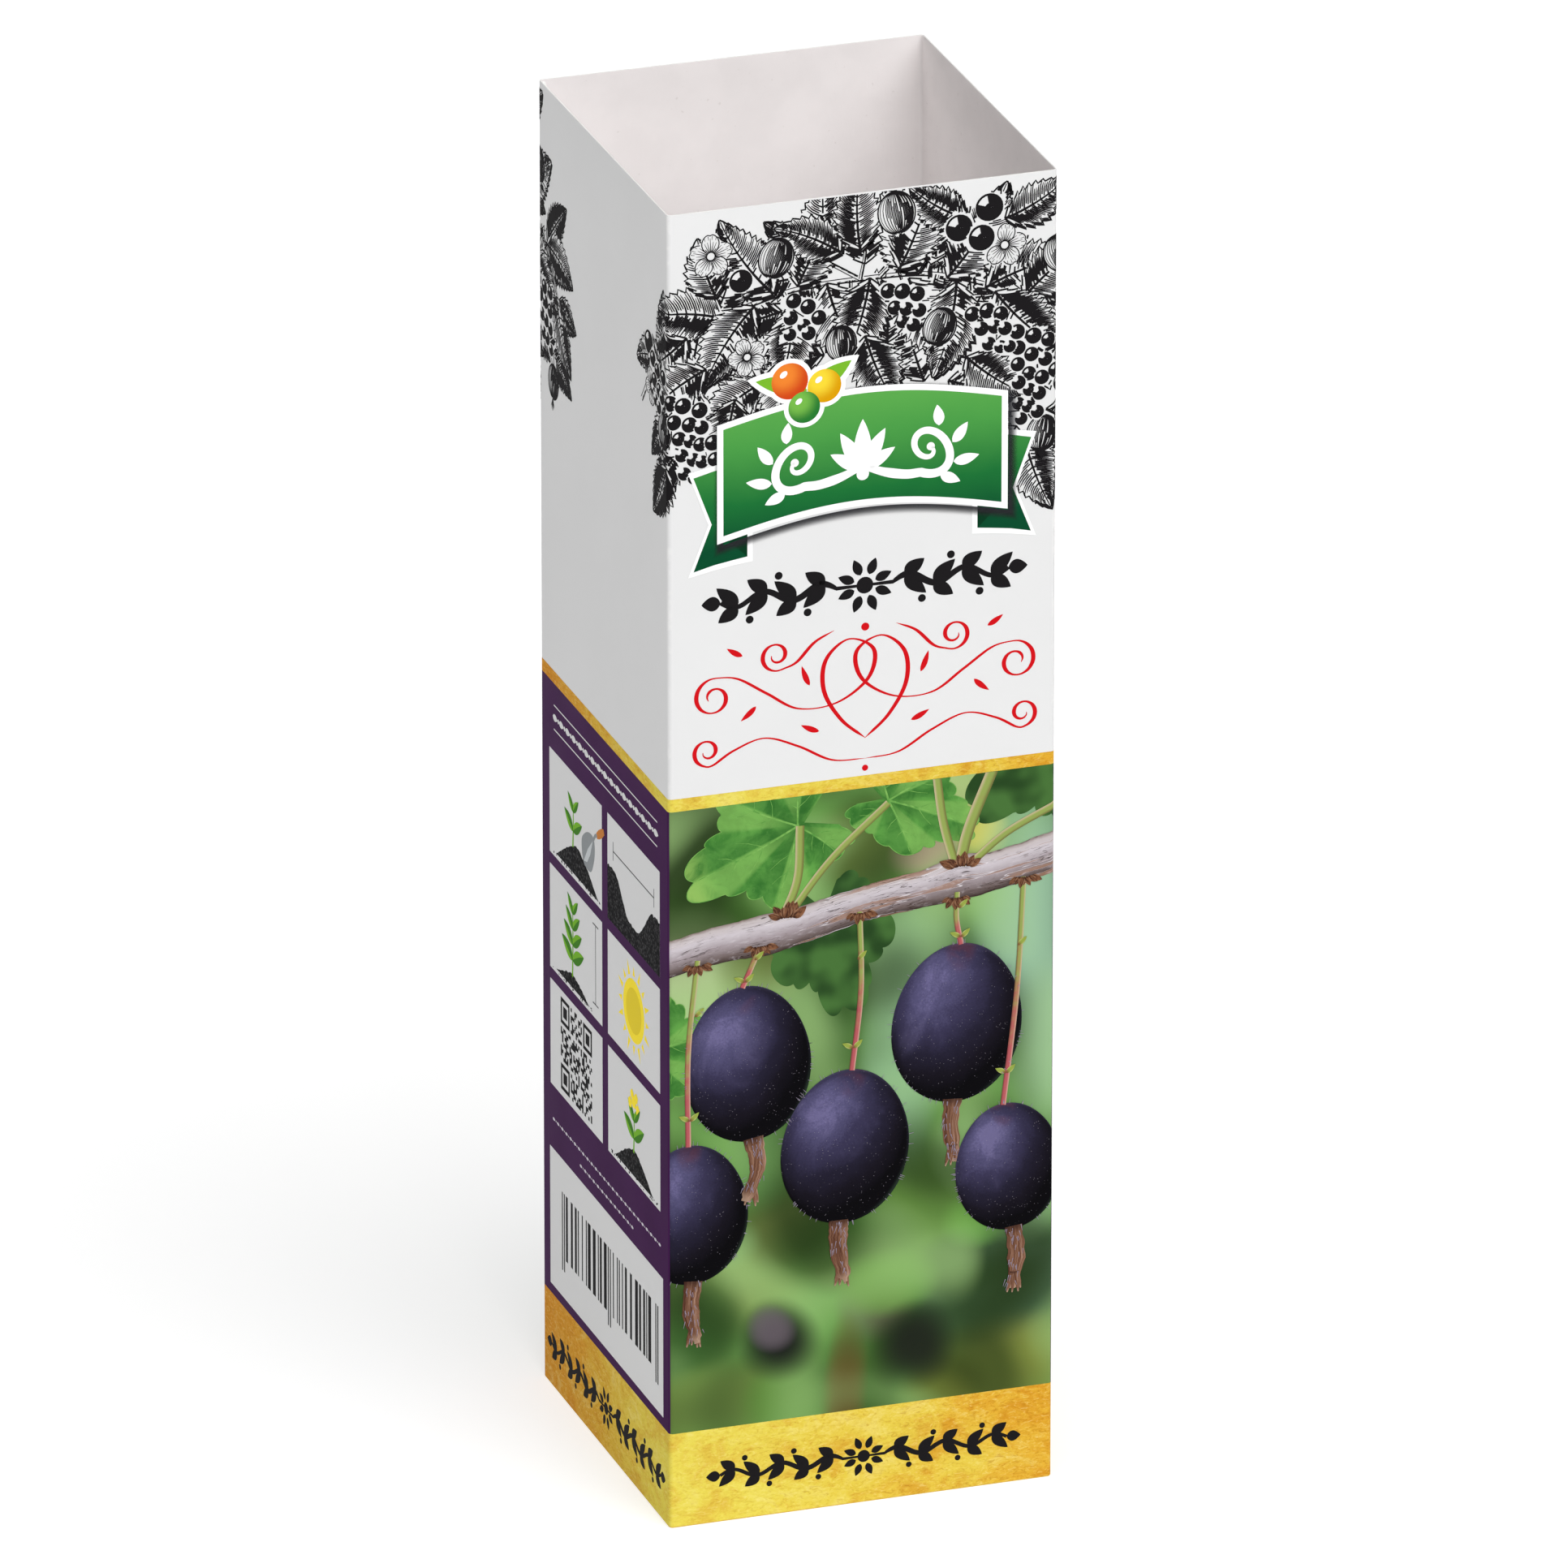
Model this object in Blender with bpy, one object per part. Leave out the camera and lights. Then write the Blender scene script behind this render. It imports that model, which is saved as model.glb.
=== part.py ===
"""Tall square folding carton with an open top, standing on its own locked base.

One sheet of solid board is creased into four panels, closed by a glue flap inside one back corner,
and shut at the bottom by four flaps that lock together. Units are metres, +Z is up, the origin is
the middle of the base, and the front panel faces -Y.
"""

import math

import bmesh
import bpy

# Outside size of the erected carton, square in plan
SIDE = 0.081
HEIGHT = 0.280

# Thickness of the board, and the clearance kept between neighbouring pieces
BOARD = 0.0005
GAP = 0.0003

# Heights of the printed zones
LOWER_BAND_TOP = 0.0205
PICTURE_TOP = 0.1543
UPPER_BAND_TOP = 0.1570

# Glue flap: its width, and how far its ends slope
GLUE_FLAP_WIDTH = 0.015
GLUE_FLAP_SLOPE = 0.008

# Locking base: how far each flap reaches from its crease, and how much it tapers at each side
FRONT_FLAP_REACH = 0.0370
SIDE_FLAP_REACH = 0.0240
BACK_FLAP_REACH = 0.0440
FRONT_FLAP_TAPER = 0.0025
SIDE_FLAP_TAPER = 0.0140
BACK_FLAP_TAPER = 0.0015

# Tongue of the front flap, and the notch in the back flap that it passes through
TONGUE_WIDTH = 0.0240
TONGUE_LENGTH = 0.0120
TONGUE_TAPER = 0.0030
NOTCH_WIDTH = 0.0270
NOTCH_DEPTH = 0.0110

INSIDE = SIDE / 2 - BOARD
LAYER = BOARD + GAP


def clear_scene():
    for obj in list(bpy.data.objects):
        bpy.data.objects.remove(obj)


def finish(name, colour, roughness, metallic=0.0):
    material = bpy.data.materials.new(name)
    material.use_nodes = True
    shader = material.node_tree.nodes["Principled BSDF"]
    shader.inputs["Base Color"].default_value = (*colour, 1.0)
    shader.inputs["Roughness"].default_value = roughness
    shader.inputs["Metallic"].default_value = metallic
    return material


def add_object(name, bm, materials, parent):
    bmesh.ops.recalc_face_normals(bm, faces=bm.faces[:])
    mesh = bpy.data.meshes.new(name)
    bm.to_mesh(mesh)
    bm.free()
    for material in materials:
        mesh.materials.append(material)
    obj = bpy.data.objects.new(name, mesh)
    obj.parent = parent
    bpy.context.collection.objects.link(obj)
    return obj


def wall_panel(name, turn, zones, parent):
    """One wall of the carton, mitred at both creases, with a row of faces for each printed zone.

    zones runs from the base up, as pairs of a material and the height where it ends.
    """
    mitre_setback = GAP / 2 * math.sqrt(2)
    outer = SIDE / 2 - mitre_setback
    inner = INSIDE - mitre_setback
    section = [(-outer, -SIDE / 2), (outer, -SIDE / 2), (inner, -INSIDE), (-inner, -INSIDE)]
    heights = [0.0] + [top for _, top in zones]
    bm = bmesh.new()
    rings = [[bm.verts.new((x, y, z)) for x, y in section] for z in heights]
    for zone, (lower, upper) in enumerate(zip(rings, rings[1:])):
        for i in range(4):
            j = (i + 1) % 4
            face = bm.faces.new((lower[i], lower[j], upper[j], upper[i]))
            printed = i == 0
            face.material_index = zone if printed else len(zones)
    for cap in (rings[0], rings[-1]):
        bm.faces.new(cap).material_index = len(zones)
    materials = [material for material, _ in zones] + [INSIDE_FINISH]
    obj = add_object(name, bm, materials, parent)
    obj.rotation_euler.z = turn
    return obj


def flap(name, outlines, thickness, parent):
    """A flap of board: flat outlines that share their fold lines, thickened along one direction."""
    bm = bmesh.new()
    for outline in outlines:
        bm.faces.new([bm.verts.new(point) for point in outline])
    bmesh.ops.remove_doubles(bm, verts=bm.verts[:], dist=1e-6)
    top = bmesh.ops.extrude_face_region(bm, geom=bm.faces[:], use_keep_orig=True)
    raised = [item for item in top["geom"] if isinstance(item, bmesh.types.BMVert)]
    bmesh.ops.translate(bm, verts=raised, vec=thickness)
    return add_object(name, bm, [INSIDE_FINISH], parent)


def glue_flap(parent):
    """The flap that carries on from the back panel and is glued inside the left panel."""
    x = -INSIDE + GAP
    hinge = INSIDE - GAP
    free = hinge - GLUE_FLAP_WIDTH
    low = 3 * LAYER + BOARD + GAP
    outline = [
        (x, hinge, low),
        (x, free, low + GLUE_FLAP_SLOPE),
        (x, free, HEIGHT - GLUE_FLAP_SLOPE),
        (x, hinge, HEIGHT - GAP),
    ]
    return flap("glue_flap", [outline], (BOARD, 0, 0), parent)


def front_base_flap(parent):
    """The outermost base flap. Its tongue climbs through the notch and lies on the back flap."""
    hinge = INSIDE - GAP
    shoulder = -hinge + FRONT_FLAP_REACH
    wide = hinge - FRONT_FLAP_TAPER
    half_tongue = TONGUE_WIDTH / 2
    notch_edge = hinge - BACK_FLAP_REACH + NOTCH_DEPTH
    landing = notch_edge - GAP
    tip = landing + TONGUE_LENGTH
    lift = 3 * LAYER
    plate = [
        (-hinge, -hinge, 0),
        (hinge, -hinge, 0),
        (wide, shoulder, 0),
        (half_tongue, shoulder, 0),
        (-half_tongue, shoulder, 0),
        (-wide, shoulder, 0),
    ]
    ramp = [
        (-half_tongue, shoulder, 0),
        (half_tongue, shoulder, 0),
        (half_tongue, landing, lift),
        (-half_tongue, landing, lift),
    ]
    tongue = [
        (-half_tongue, landing, lift),
        (half_tongue, landing, lift),
        (half_tongue - TONGUE_TAPER, tip, lift),
        (-half_tongue + TONGUE_TAPER, tip, lift),
    ]
    return flap("front_base_flap", [plate, ramp, tongue], (0, 0, BOARD), parent)


def side_base_flap(name, side, parent):
    """One of the two middle flaps, sloped so that the tongue passes between them."""
    hinge = INSIDE - GAP
    free = hinge - SIDE_FLAP_REACH
    outline = [
        (side * hinge, -hinge, LAYER),
        (side * hinge, hinge, LAYER),
        (side * free, hinge - SIDE_FLAP_TAPER, LAYER),
        (side * free, -hinge + SIDE_FLAP_TAPER, LAYER),
    ]
    return flap(name, [outline], (0, 0, BOARD), parent)


def back_base_flap(parent):
    """The innermost base flap, with a notch in its free edge for the tongue."""
    hinge = INSIDE - GAP
    free = hinge - BACK_FLAP_REACH
    notch_floor = free + NOTCH_DEPTH
    wide = hinge - BACK_FLAP_TAPER
    half_notch = NOTCH_WIDTH / 2
    level = 2 * LAYER
    outline = [
        (-hinge, hinge, level),
        (-wide, free, level),
        (-half_notch, free, level),
        (-half_notch, notch_floor, level),
        (half_notch, notch_floor, level),
        (half_notch, free, level),
        (wide, free, level),
        (hinge, hinge, level),
    ]
    return flap("back_base_flap", [outline], (0, 0, BOARD), parent)


clear_scene()

WHITE_FINISH = finish("coated_white", (0.84, 0.84, 0.84), 0.42)
GOLD_FINISH = finish("gold_ink", (0.78, 0.52, 0.10), 0.45)
PICTURE_FINISH = finish("picture_green", (0.16, 0.30, 0.09), 0.42)
PURPLE_FINISH = finish("purple_ink", (0.058, 0.022, 0.074), 0.42)
INSIDE_FINISH = finish("uncoated_board", (0.80, 0.77, 0.75), 0.75)

carton = bpy.data.objects.new("carton", None)
bpy.context.collection.objects.link(carton)

picture_zones = [
    (GOLD_FINISH, LOWER_BAND_TOP),
    (PICTURE_FINISH, PICTURE_TOP),
    (GOLD_FINISH, UPPER_BAND_TOP),
    (WHITE_FINISH, HEIGHT),
]
guide_zones = [
    (GOLD_FINISH, LOWER_BAND_TOP),
    (PURPLE_FINISH, PICTURE_TOP),
    (GOLD_FINISH, UPPER_BAND_TOP),
    (WHITE_FINISH, HEIGHT),
]
wall_panel("front_panel", 0, picture_zones, carton)
wall_panel("right_panel", math.pi / 2, guide_zones, carton)
wall_panel("back_panel", math.pi, picture_zones, carton)
wall_panel("left_panel", -math.pi / 2, guide_zones, carton)

glue_flap(carton)
front_base_flap(carton)
side_base_flap("left_base_flap", -1, carton)
side_base_flap("right_base_flap", 1, carton)
back_base_flap(carton)
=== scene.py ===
"""The looks of a tall printed folding carton with an open top, standing on a pale studio floor."""

import math

import bmesh
import bpy
import numpy as np
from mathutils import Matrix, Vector
from mathutils.geometry import tessellate_polygon


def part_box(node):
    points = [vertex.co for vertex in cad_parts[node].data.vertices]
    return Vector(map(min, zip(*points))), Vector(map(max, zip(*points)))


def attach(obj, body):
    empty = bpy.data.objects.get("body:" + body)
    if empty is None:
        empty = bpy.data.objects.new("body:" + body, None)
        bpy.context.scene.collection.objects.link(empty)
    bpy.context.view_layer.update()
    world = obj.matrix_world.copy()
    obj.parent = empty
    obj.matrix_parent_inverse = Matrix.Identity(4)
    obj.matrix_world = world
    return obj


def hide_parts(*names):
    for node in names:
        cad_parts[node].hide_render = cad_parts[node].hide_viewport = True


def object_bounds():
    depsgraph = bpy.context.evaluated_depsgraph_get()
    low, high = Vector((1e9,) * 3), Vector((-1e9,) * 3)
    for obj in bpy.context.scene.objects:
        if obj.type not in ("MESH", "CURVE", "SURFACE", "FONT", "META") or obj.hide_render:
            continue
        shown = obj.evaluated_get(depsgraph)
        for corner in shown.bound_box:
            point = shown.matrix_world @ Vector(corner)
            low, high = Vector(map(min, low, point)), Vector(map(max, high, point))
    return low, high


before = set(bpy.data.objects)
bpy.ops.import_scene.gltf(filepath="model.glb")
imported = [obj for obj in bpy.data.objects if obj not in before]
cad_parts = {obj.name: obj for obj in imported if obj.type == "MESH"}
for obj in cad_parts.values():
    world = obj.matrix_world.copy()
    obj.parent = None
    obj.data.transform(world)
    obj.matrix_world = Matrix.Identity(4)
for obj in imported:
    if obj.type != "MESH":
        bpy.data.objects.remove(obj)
cad_low, cad_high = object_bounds()


# Camera
# The carton is seen from its left front and a little above, through a long lens that keeps its
# upright edges nearly parallel.

MM = 0.001
HEIGHT = (cad_high.z - cad_low.z) / MM
VIEW_AZIMUTH = math.radians(-18.71)
VIEW_ELEVATION = math.radians(22.20)
VIEW_DISTANCE = 16.395 * HEIGHT * MM
VIEW_ASIDE = -0.0089 * HEIGHT * MM
VIEW_ABOVE = -0.0013 * HEIGHT * MM
IMAGE_SIDES = 14.6936
SENSOR_MM = 36

camera = bpy.data.objects.new("camera", bpy.data.cameras.new("camera"))
bpy.context.collection.objects.link(camera)
camera.rotation_euler = (math.pi / 2 - VIEW_ELEVATION, 0, VIEW_AZIMUTH)
toward_camera = camera.rotation_euler.to_matrix() @ Vector((VIEW_ASIDE, VIEW_ABOVE, VIEW_DISTANCE))
camera.location = Vector((0, 0, HEIGHT * MM / 2)) + toward_camera
camera.data.sensor_width = SENSOR_MM
camera.data.lens = IMAGE_SIDES * SENSOR_MM
camera.data.clip_end = 50
bpy.context.scene.camera = camera


# Studio
# A wide white light table under a soft white dome. The dome is brightest high in front, with a
# weaker glow on the left, so that the left wall of the carton lies in soft shade.


class Wire:
    """A socket of a node tree: arithmetic adds Math nodes, and node() adds any other kind."""

    def __init__(self, tree, socket=None):
        self.tree = tree
        self.socket = socket

    def node(self, kind, settings=None, sockets=None, output=0):
        made = self.tree.nodes.new("ShaderNode" + kind)
        for name, value in (settings or {}).items():
            if name == "stops":
                ramp = made.color_ramp
                while len(ramp.elements) < len(value):
                    ramp.elements.new(1.0)
                for element, (place, colour) in zip(ramp.elements, value):
                    element.position = place
                    element.color = (*colour, 1.0)
            else:
                setattr(made, name, value)
        for name, value in (sockets or {}).items():
            if isinstance(value, Wire):
                self.tree.links.new(value.socket, made.inputs[name])
            else:
                made.inputs[name].default_value = value
        return Wire(self.tree, made.outputs[output])

    def math(self, operation, *values):
        return self.node("Math", {"operation": operation}, dict(enumerate((self, *values))))

    def __add__(self, other):
        return self.math("ADD", other)

    def __mul__(self, other):
        return self.math("MULTIPLY", other)

    def __sub__(self, other):
        return self.math("SUBTRACT", other)

    def __truediv__(self, other):
        return self.math("DIVIDE", other)

    __radd__ = __add__
    __rmul__ = __mul__

    def __rsub__(self, other):
        return self.node("Math", {"operation": "SUBTRACT"}, {0: other, 1: self})

    def ramp(self, low, high, start=0.0, end=1.0):
        """start below low, end above high, and a smooth change between."""
        return self.node(
            "MapRange",
            {"interpolation_type": "SMOOTHSTEP"},
            {0: self, 1: low, 2: high, 3: start, 4: end},
        )

    def parts(self):
        """The three parts of a vector."""
        split = self.node("SeparateXYZ", None, {0: self}).socket.node
        return [Wire(self.tree, output) for output in split.outputs]

    def vector(self, x, y, z):
        return self.node("CombineXYZ", None, {0: x, 1: y, 2: z})

    def mix(self, share, first, second):
        """Two colours mixed, each a wire or three numbers."""
        first, second = (c if isinstance(c, Wire) else (*c, 1.0) for c in (first, second))
        return self.node("Mix", {"data_type": "RGBA"}, {0: share, 6: first, 7: second}, 2)

    def noise(self, place, scale, detail, rough=0.5, twist=0.0):
        """A cloud pattern about 0.5, with scale patches for each unit of place."""
        return self.node("TexNoise", None, {
            "Vector": place, "Scale": scale, "Detail": detail, "Roughness": rough, "Distortion": twist,
        })


FLOOR_SIDE = 14.0
FLOOR_WHITE = 0.60
FLOOR_GLOW = 0.54
DOME_FRONT = 3.58
DOME_LEFT = 0.78
DOME_SKY = 0.24
DOME_HORIZON = 0.8
FRONT_LIGHT = (0.1800, -0.6700, 0.7202)
FRONT_SPREAD = (0.75, 1.0)
LEFT_LIGHT = (-0.6200, -0.1000, 0.7782)
LEFT_SPREAD = (0.7, 1.0)
SKY_SPREAD = (0.2, 0.8)
HORIZON_SPREAD = (0.09, 0.05)

floor_mesh = bpy.data.meshes.new("studio_floor")
reach = FLOOR_SIDE / 2
floor_corners = [(-reach, -reach, 0), (reach, -reach, 0), (reach, reach, 0), (-reach, reach, 0)]
floor_mesh.from_pydata(floor_corners, [], [(0, 1, 2, 3)])
floor = bpy.data.objects.new("studio_floor", floor_mesh)
bpy.context.collection.objects.link(floor)

floor_paint = bpy.data.materials.new("studio_floor")
floor_paint.use_nodes = True
floor_shader = floor_paint.node_tree.nodes["Principled BSDF"]
floor_shader.inputs["Base Color"].default_value = (FLOOR_WHITE, FLOOR_WHITE, FLOOR_WHITE, 1.0)
floor_shader.inputs["Roughness"].default_value = 0.9
floor_shader.inputs["Specular IOR Level"].default_value = 0.0
floor_shader.inputs["Emission Color"].default_value = (1.0, 1.0, 1.0, 1.0)
floor_shader.inputs["Emission Strength"].default_value = FLOOR_GLOW
floor_mesh.materials.append(floor_paint)

dome = bpy.data.worlds.new("studio_dome")
dome.use_nodes = True
bpy.context.scene.world = dome
dome_wires = Wire(dome.node_tree)
direction = dome_wires.node("TexCoord")
toward_front, toward_left = (
    dome_wires.node("VectorMath", {"operation": "DOT_PRODUCT"}, {0: direction, 1: light}, 1)
    for light in (FRONT_LIGHT, LEFT_LIGHT)
)
upward = direction.parts()[2]
dome_light = DOME_FRONT * toward_front.ramp(*FRONT_SPREAD) + DOME_LEFT * toward_left.ramp(*LEFT_SPREAD)
dome_light = dome_light + DOME_SKY * upward.ramp(*SKY_SPREAD)
dome_light = dome_light + DOME_HORIZON * upward.ramp(*HORIZON_SPREAD)
dome.node_tree.links.new(dome_light.socket, dome.node_tree.nodes["Background"].inputs["Color"])
bpy.context.scene.view_settings.view_transform = "Standard"


# Folded board
# One sheet of solid boxboard, white and coated outside, bare and faintly warm grey inside. It is
# creased into four walls, so the corners are small round bends, and its rim is a plain cut edge.

wall_low, wall_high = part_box("front_panel")
SIDE = (cad_high.x - cad_low.x) / MM
BOARD = (wall_high.y - wall_low.y) / MM
BEND = 0.9
BEND_STEPS = 4
INK = 0.016
TOP_INK = 10.6
INK_STACK = INK * TOP_INK
LEFT, FRONT, RIGHT, BACK = (wall * SIDE for wall in range(4))


def fold(s, z, out):
    """Where points of the flat board come to lie, in mm: s goes round the walls from the back left
    corner, z goes up, and out is the height above the printed face of the bare board."""
    s, z = np.asarray(s, float), np.asarray(z, float)
    wall = np.floor(s / SIDE + 1e-9)
    x = s - wall * SIDE
    near = np.minimum(x, SIDE - x)
    turn = np.clip((BEND - near) / BEND, 0, 1) * math.pi / 4
    centre = SIDE / 2 - INK_STACK - BEND
    ward = np.where(x < SIDE / 2, -1, 1)
    flat = np.clip(x - SIDE / 2, -SIDE / 2 + BEND, SIDE / 2 - BEND) * centre / (SIDE / 2 - BEND)
    aside = np.where(turn > 0, ward * (centre + (BEND + out) * np.sin(turn)), flat)
    away = -(centre + (BEND + out) * np.cos(turn))
    angle = (wall - 1) * math.pi / 2
    cos, sin = np.cos(angle), np.sin(angle)
    return np.stack([aside * cos - away * sin, aside * sin + away * cos, z], -1)


def bend_lines(corner):
    """The values of s where the facets of a corner's bend meet."""
    return [corner * SIDE + BEND * step / BEND_STEPS for step in range(-BEND_STEPS, BEND_STEPS + 1)]


def new_finish(name):
    """A new material, a wire to build its nodes with, and its shader."""
    material = bpy.data.materials.new(name)
    material.use_nodes = True
    return material, Wire(material.node_tree), material.node_tree.nodes["Principled BSDF"]


def feed(shader, name, value):
    """Gives one of a shader's sockets a wire, a number or a colour."""
    if isinstance(value, Wire):
        value.tree.links.new(value.socket, shader.inputs[name])
    elif isinstance(value, tuple):
        shader.inputs[name].default_value = (*value, 1.0)
    else:
        shader.inputs[name].default_value = value


def bump(wires, height, depth, strength):
    return wires.node("Bump", None, {"Height": height, "Distance": depth * MM, "Strength": strength})


SHEEN = 0.008


def varnish(wires, shader, gloss):
    """The satin varnish over print and coated board: faint orange peel and an uneven gloss."""
    place = wires.node("TexCoord", output=3)
    cloud = wires.noise(place, 60.0, 3.0)
    peel = wires.noise(place, 2000.0, 2.0)
    feed(shader, "Roughness", gloss - 0.07 + cloud * 0.12 + peel * 0.05)
    feed(shader, "Normal", bump(wires, peel, 0.006, 0.5))
    feed(shader, "Specular IOR Level", SHEEN)
    return place


def new_ink(name, gloss=0.46):
    """A new material under varnish, a wire to build its nodes with, and its shader."""
    material, wires, shader = new_finish(name)
    varnish(wires, shader, gloss)
    return material, wires, shader


def shaded(colour, share):
    return tuple(part * share for part in colour)


COATED_WHITE = (0.70, 0.70, 0.70)
WORN_WHITE = (0.79, 0.785, 0.775)
BARE_BOARD = (0.955, 0.913, 0.907)
CUT_EDGE = (0.90, 0.89, 0.875)

coated_board, wires, shader = new_finish("coated_board")
place = varnish(wires, shader, 0.48)
x, y, z = place.parts()
corner = x.math("ABSOLUTE").math("MINIMUM", y.math("ABSOLUTE"))
ridge = corner.ramp((SIDE / 2 - 1.2) * MM, (SIDE / 2 - 0.5) * MM)
rubbed = wires.noise(place, 240.0, 4.0, 0.7).ramp(0.48, 0.66)
tint = wires.noise(place, 40.0, 3.0).ramp(0.3, 0.7)
white = wires.mix(tint, shaded(COATED_WHITE, 0.985), COATED_WHITE)
feed(shader, "Base Color", wires.mix(ridge * rubbed * 0.6, white, WORN_WHITE))

bare_board, wires, shader = new_finish("bare_board")
place = wires.node("TexCoord", output=3)
drawn_out = wires.node("Mapping", None, {0: place, 3: (1.0, 1.0, 0.35)})
fibres = wires.noise(drawn_out, 1500.0, 4.0, 0.65)
patches = wires.noise(place, 120.0, 3.0).ramp(0.3, 0.7)
pulp = wires.mix(patches, shaded(BARE_BOARD, 0.965), BARE_BOARD)
flecks = wires.noise(place, 900.0, 1.0).ramp(0.70, 0.78)
feed(shader, "Base Color", wires.mix(flecks * 0.22, pulp, (0.55, 0.50, 0.46)))
feed(shader, "Roughness", 0.72 + fibres * 0.15)
feed(shader, "Normal", bump(wires, fibres, 0.03, 0.6))
feed(shader, "Specular IOR Level", 0.25)

cut_board, wires, shader = new_finish("cut_board")
place = wires.node("TexCoord", output=3)
torn = wires.noise(place, 2600.0, 4.0, 0.7)
feed(shader, "Base Color", wires.mix(torn.ramp(0.35, 0.65), shaded(CUT_EDGE, 0.93), CUT_EDGE))
feed(shader, "Roughness", 0.75 + torn * 0.2)
feed(shader, "Normal", bump(wires, torn, 0.04, 0.7))

foot_gold, wires, shader = new_ink("foot_gold", 0.48)
feed(shader, "Base Color", (0.62, 0.42, 0.07))

BOARD_FINISHES = (coated_board, bare_board, cut_board, foot_gold)
COATED, BARE, CUT, FOOT = range(4)
SHARP_BEND = math.radians(35)


def add_piece(name, points, faces, materials, indices=None):
    """A new object from points in mm, riding on the carton."""
    mesh = bpy.data.meshes.new(name)
    mesh.from_pydata((np.asarray(points) * MM).tolist(), [], faces)
    for material in materials:
        mesh.materials.append(material)
    if indices is not None:
        mesh.polygons.foreach_set("material_index", indices)
    mesh.shade_smooth()
    mesh.set_sharp_from_angle(angle=SHARP_BEND)
    piece = bpy.data.objects.new(name, mesh)
    bpy.context.collection.objects.link(piece)
    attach(piece, "root")
    return piece


FLAT_COLUMNS = 9
FLAT_ROWS = 14
RIM_ROUND = 0.08
FOOT_ROUND = 0.3
FOOT_TURN = (0.0, 0.39, 0.78, 1.18, 1.57)

wall_columns = []
for corner in range(4):
    wall_columns += bend_lines(corner)[BEND_STEPS:-1]
    wall_columns += list(np.linspace(corner * SIDE + BEND, (corner + 1) * SIDE - BEND, FLAT_COLUMNS))
    wall_columns += bend_lines(corner + 1)[1:BEND_STEPS]
wall_columns = np.array(wall_columns)

foot = [(FOOT_ROUND * (1 - math.cos(turn)), -FOOT_ROUND * (1 - math.sin(turn))) for turn in FOOT_TURN]
rim = [(HEIGHT - RIM_ROUND, 0.0), (HEIGHT - RIM_ROUND * 0.3, -RIM_ROUND * 0.3), (HEIGHT, -RIM_ROUND)]
levels = [HEIGHT * step / FLAT_ROWS for step in range(1, FLAT_ROWS)]
outside = foot + [(level, 0.0) for level in levels] + rim
inside_face = INK_STACK - BOARD
inside = [
    (HEIGHT, inside_face + RIM_ROUND),
    (HEIGHT - RIM_ROUND, inside_face),
    *((level, inside_face) for level in reversed(levels)),
    (0.0, inside_face),
]
rows = outside + inside
count = len(wall_columns)
points = np.concatenate([fold(wall_columns, np.full(count, z), out) for z, out in rows])
faces = []
finishes = []
for row in range(len(rows)):
    lower, upper = row * count, (row + 1) % len(rows) * count
    for column in range(count):
        beside = (column + 1) % count
        faces.append((lower + column, lower + beside, upper + beside, upper + column))
        if row < len(foot) - 1:
            finishes.append(FOOT)
        elif row < len(outside) - 2:
            finishes.append(COATED)
        elif row < len(outside) + 1 or row == len(rows) - 1:
            finishes.append(CUT)
        else:
            finishes.append(BARE)
folded_board = add_piece("folded_board", points, faces, BOARD_FINISHES, finishes)
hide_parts("front_panel", "left_panel", "back_panel", "right_panel")


# Glue flap and base flaps
# The flaps are cut from the same sheet. The glue flap carries on from the back wall inside the
# left one, and the four base flaps fold in, the front one's tongue locking through the back one.

NET_STEPS = (4.0, 1.0)
glue_low, glue_high = (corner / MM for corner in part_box("glue_flap"))
front_low, front_high = (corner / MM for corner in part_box("front_base_flap"))
left_low, _ = (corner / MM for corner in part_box("left_base_flap"))
back_low, back_high = (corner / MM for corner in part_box("back_base_flap"))


def cut_mesh(mesh, axis, at, keep=0):
    """Cuts flat faces along a line, and drops what lies below it (keep 1) or above it (keep -1)."""
    where = [0.0, 0.0, 0.0]
    where[axis] = at
    normal = [0.0, 0.0, 0.0]
    normal[axis] = 1.0
    geometry = mesh.verts[:] + mesh.edges[:] + mesh.faces[:]
    bmesh.ops.bisect_plane(
        mesh, geom=geometry, dist=1e-5, plane_co=where, plane_no=normal,
        clear_inner=keep == 1, clear_outer=keep == -1,
    )


def thick_faces(mesh):
    """The faces of a closed body from flat ones: their tops, then their undersides, then the rims."""
    mesh.verts.index_update()
    count = len(mesh.verts)
    tops, unders, rims = [], [], []
    for face in mesh.faces:
        ring = [vert.index for vert in face.verts]
        spots = [vert.co for vert in face.verts]
        area = sum(a.x * b.y - b.x * a.y for a, b in zip(spots, spots[1:] + spots[:1]))
        if area < 0:
            ring.reverse()
        tops.append(ring)
        unders.append([index + count for index in reversed(ring)])
        edges = {frozenset(vert.index for vert in edge.verts) for edge in face.edges if edge.is_boundary}
        for a, b in zip(ring, ring[1:] + ring[:1]):
            if frozenset((a, b)) in edges:
                rims.append((b, a, a + count, b + count))
    return tops, unders, rims


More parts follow.
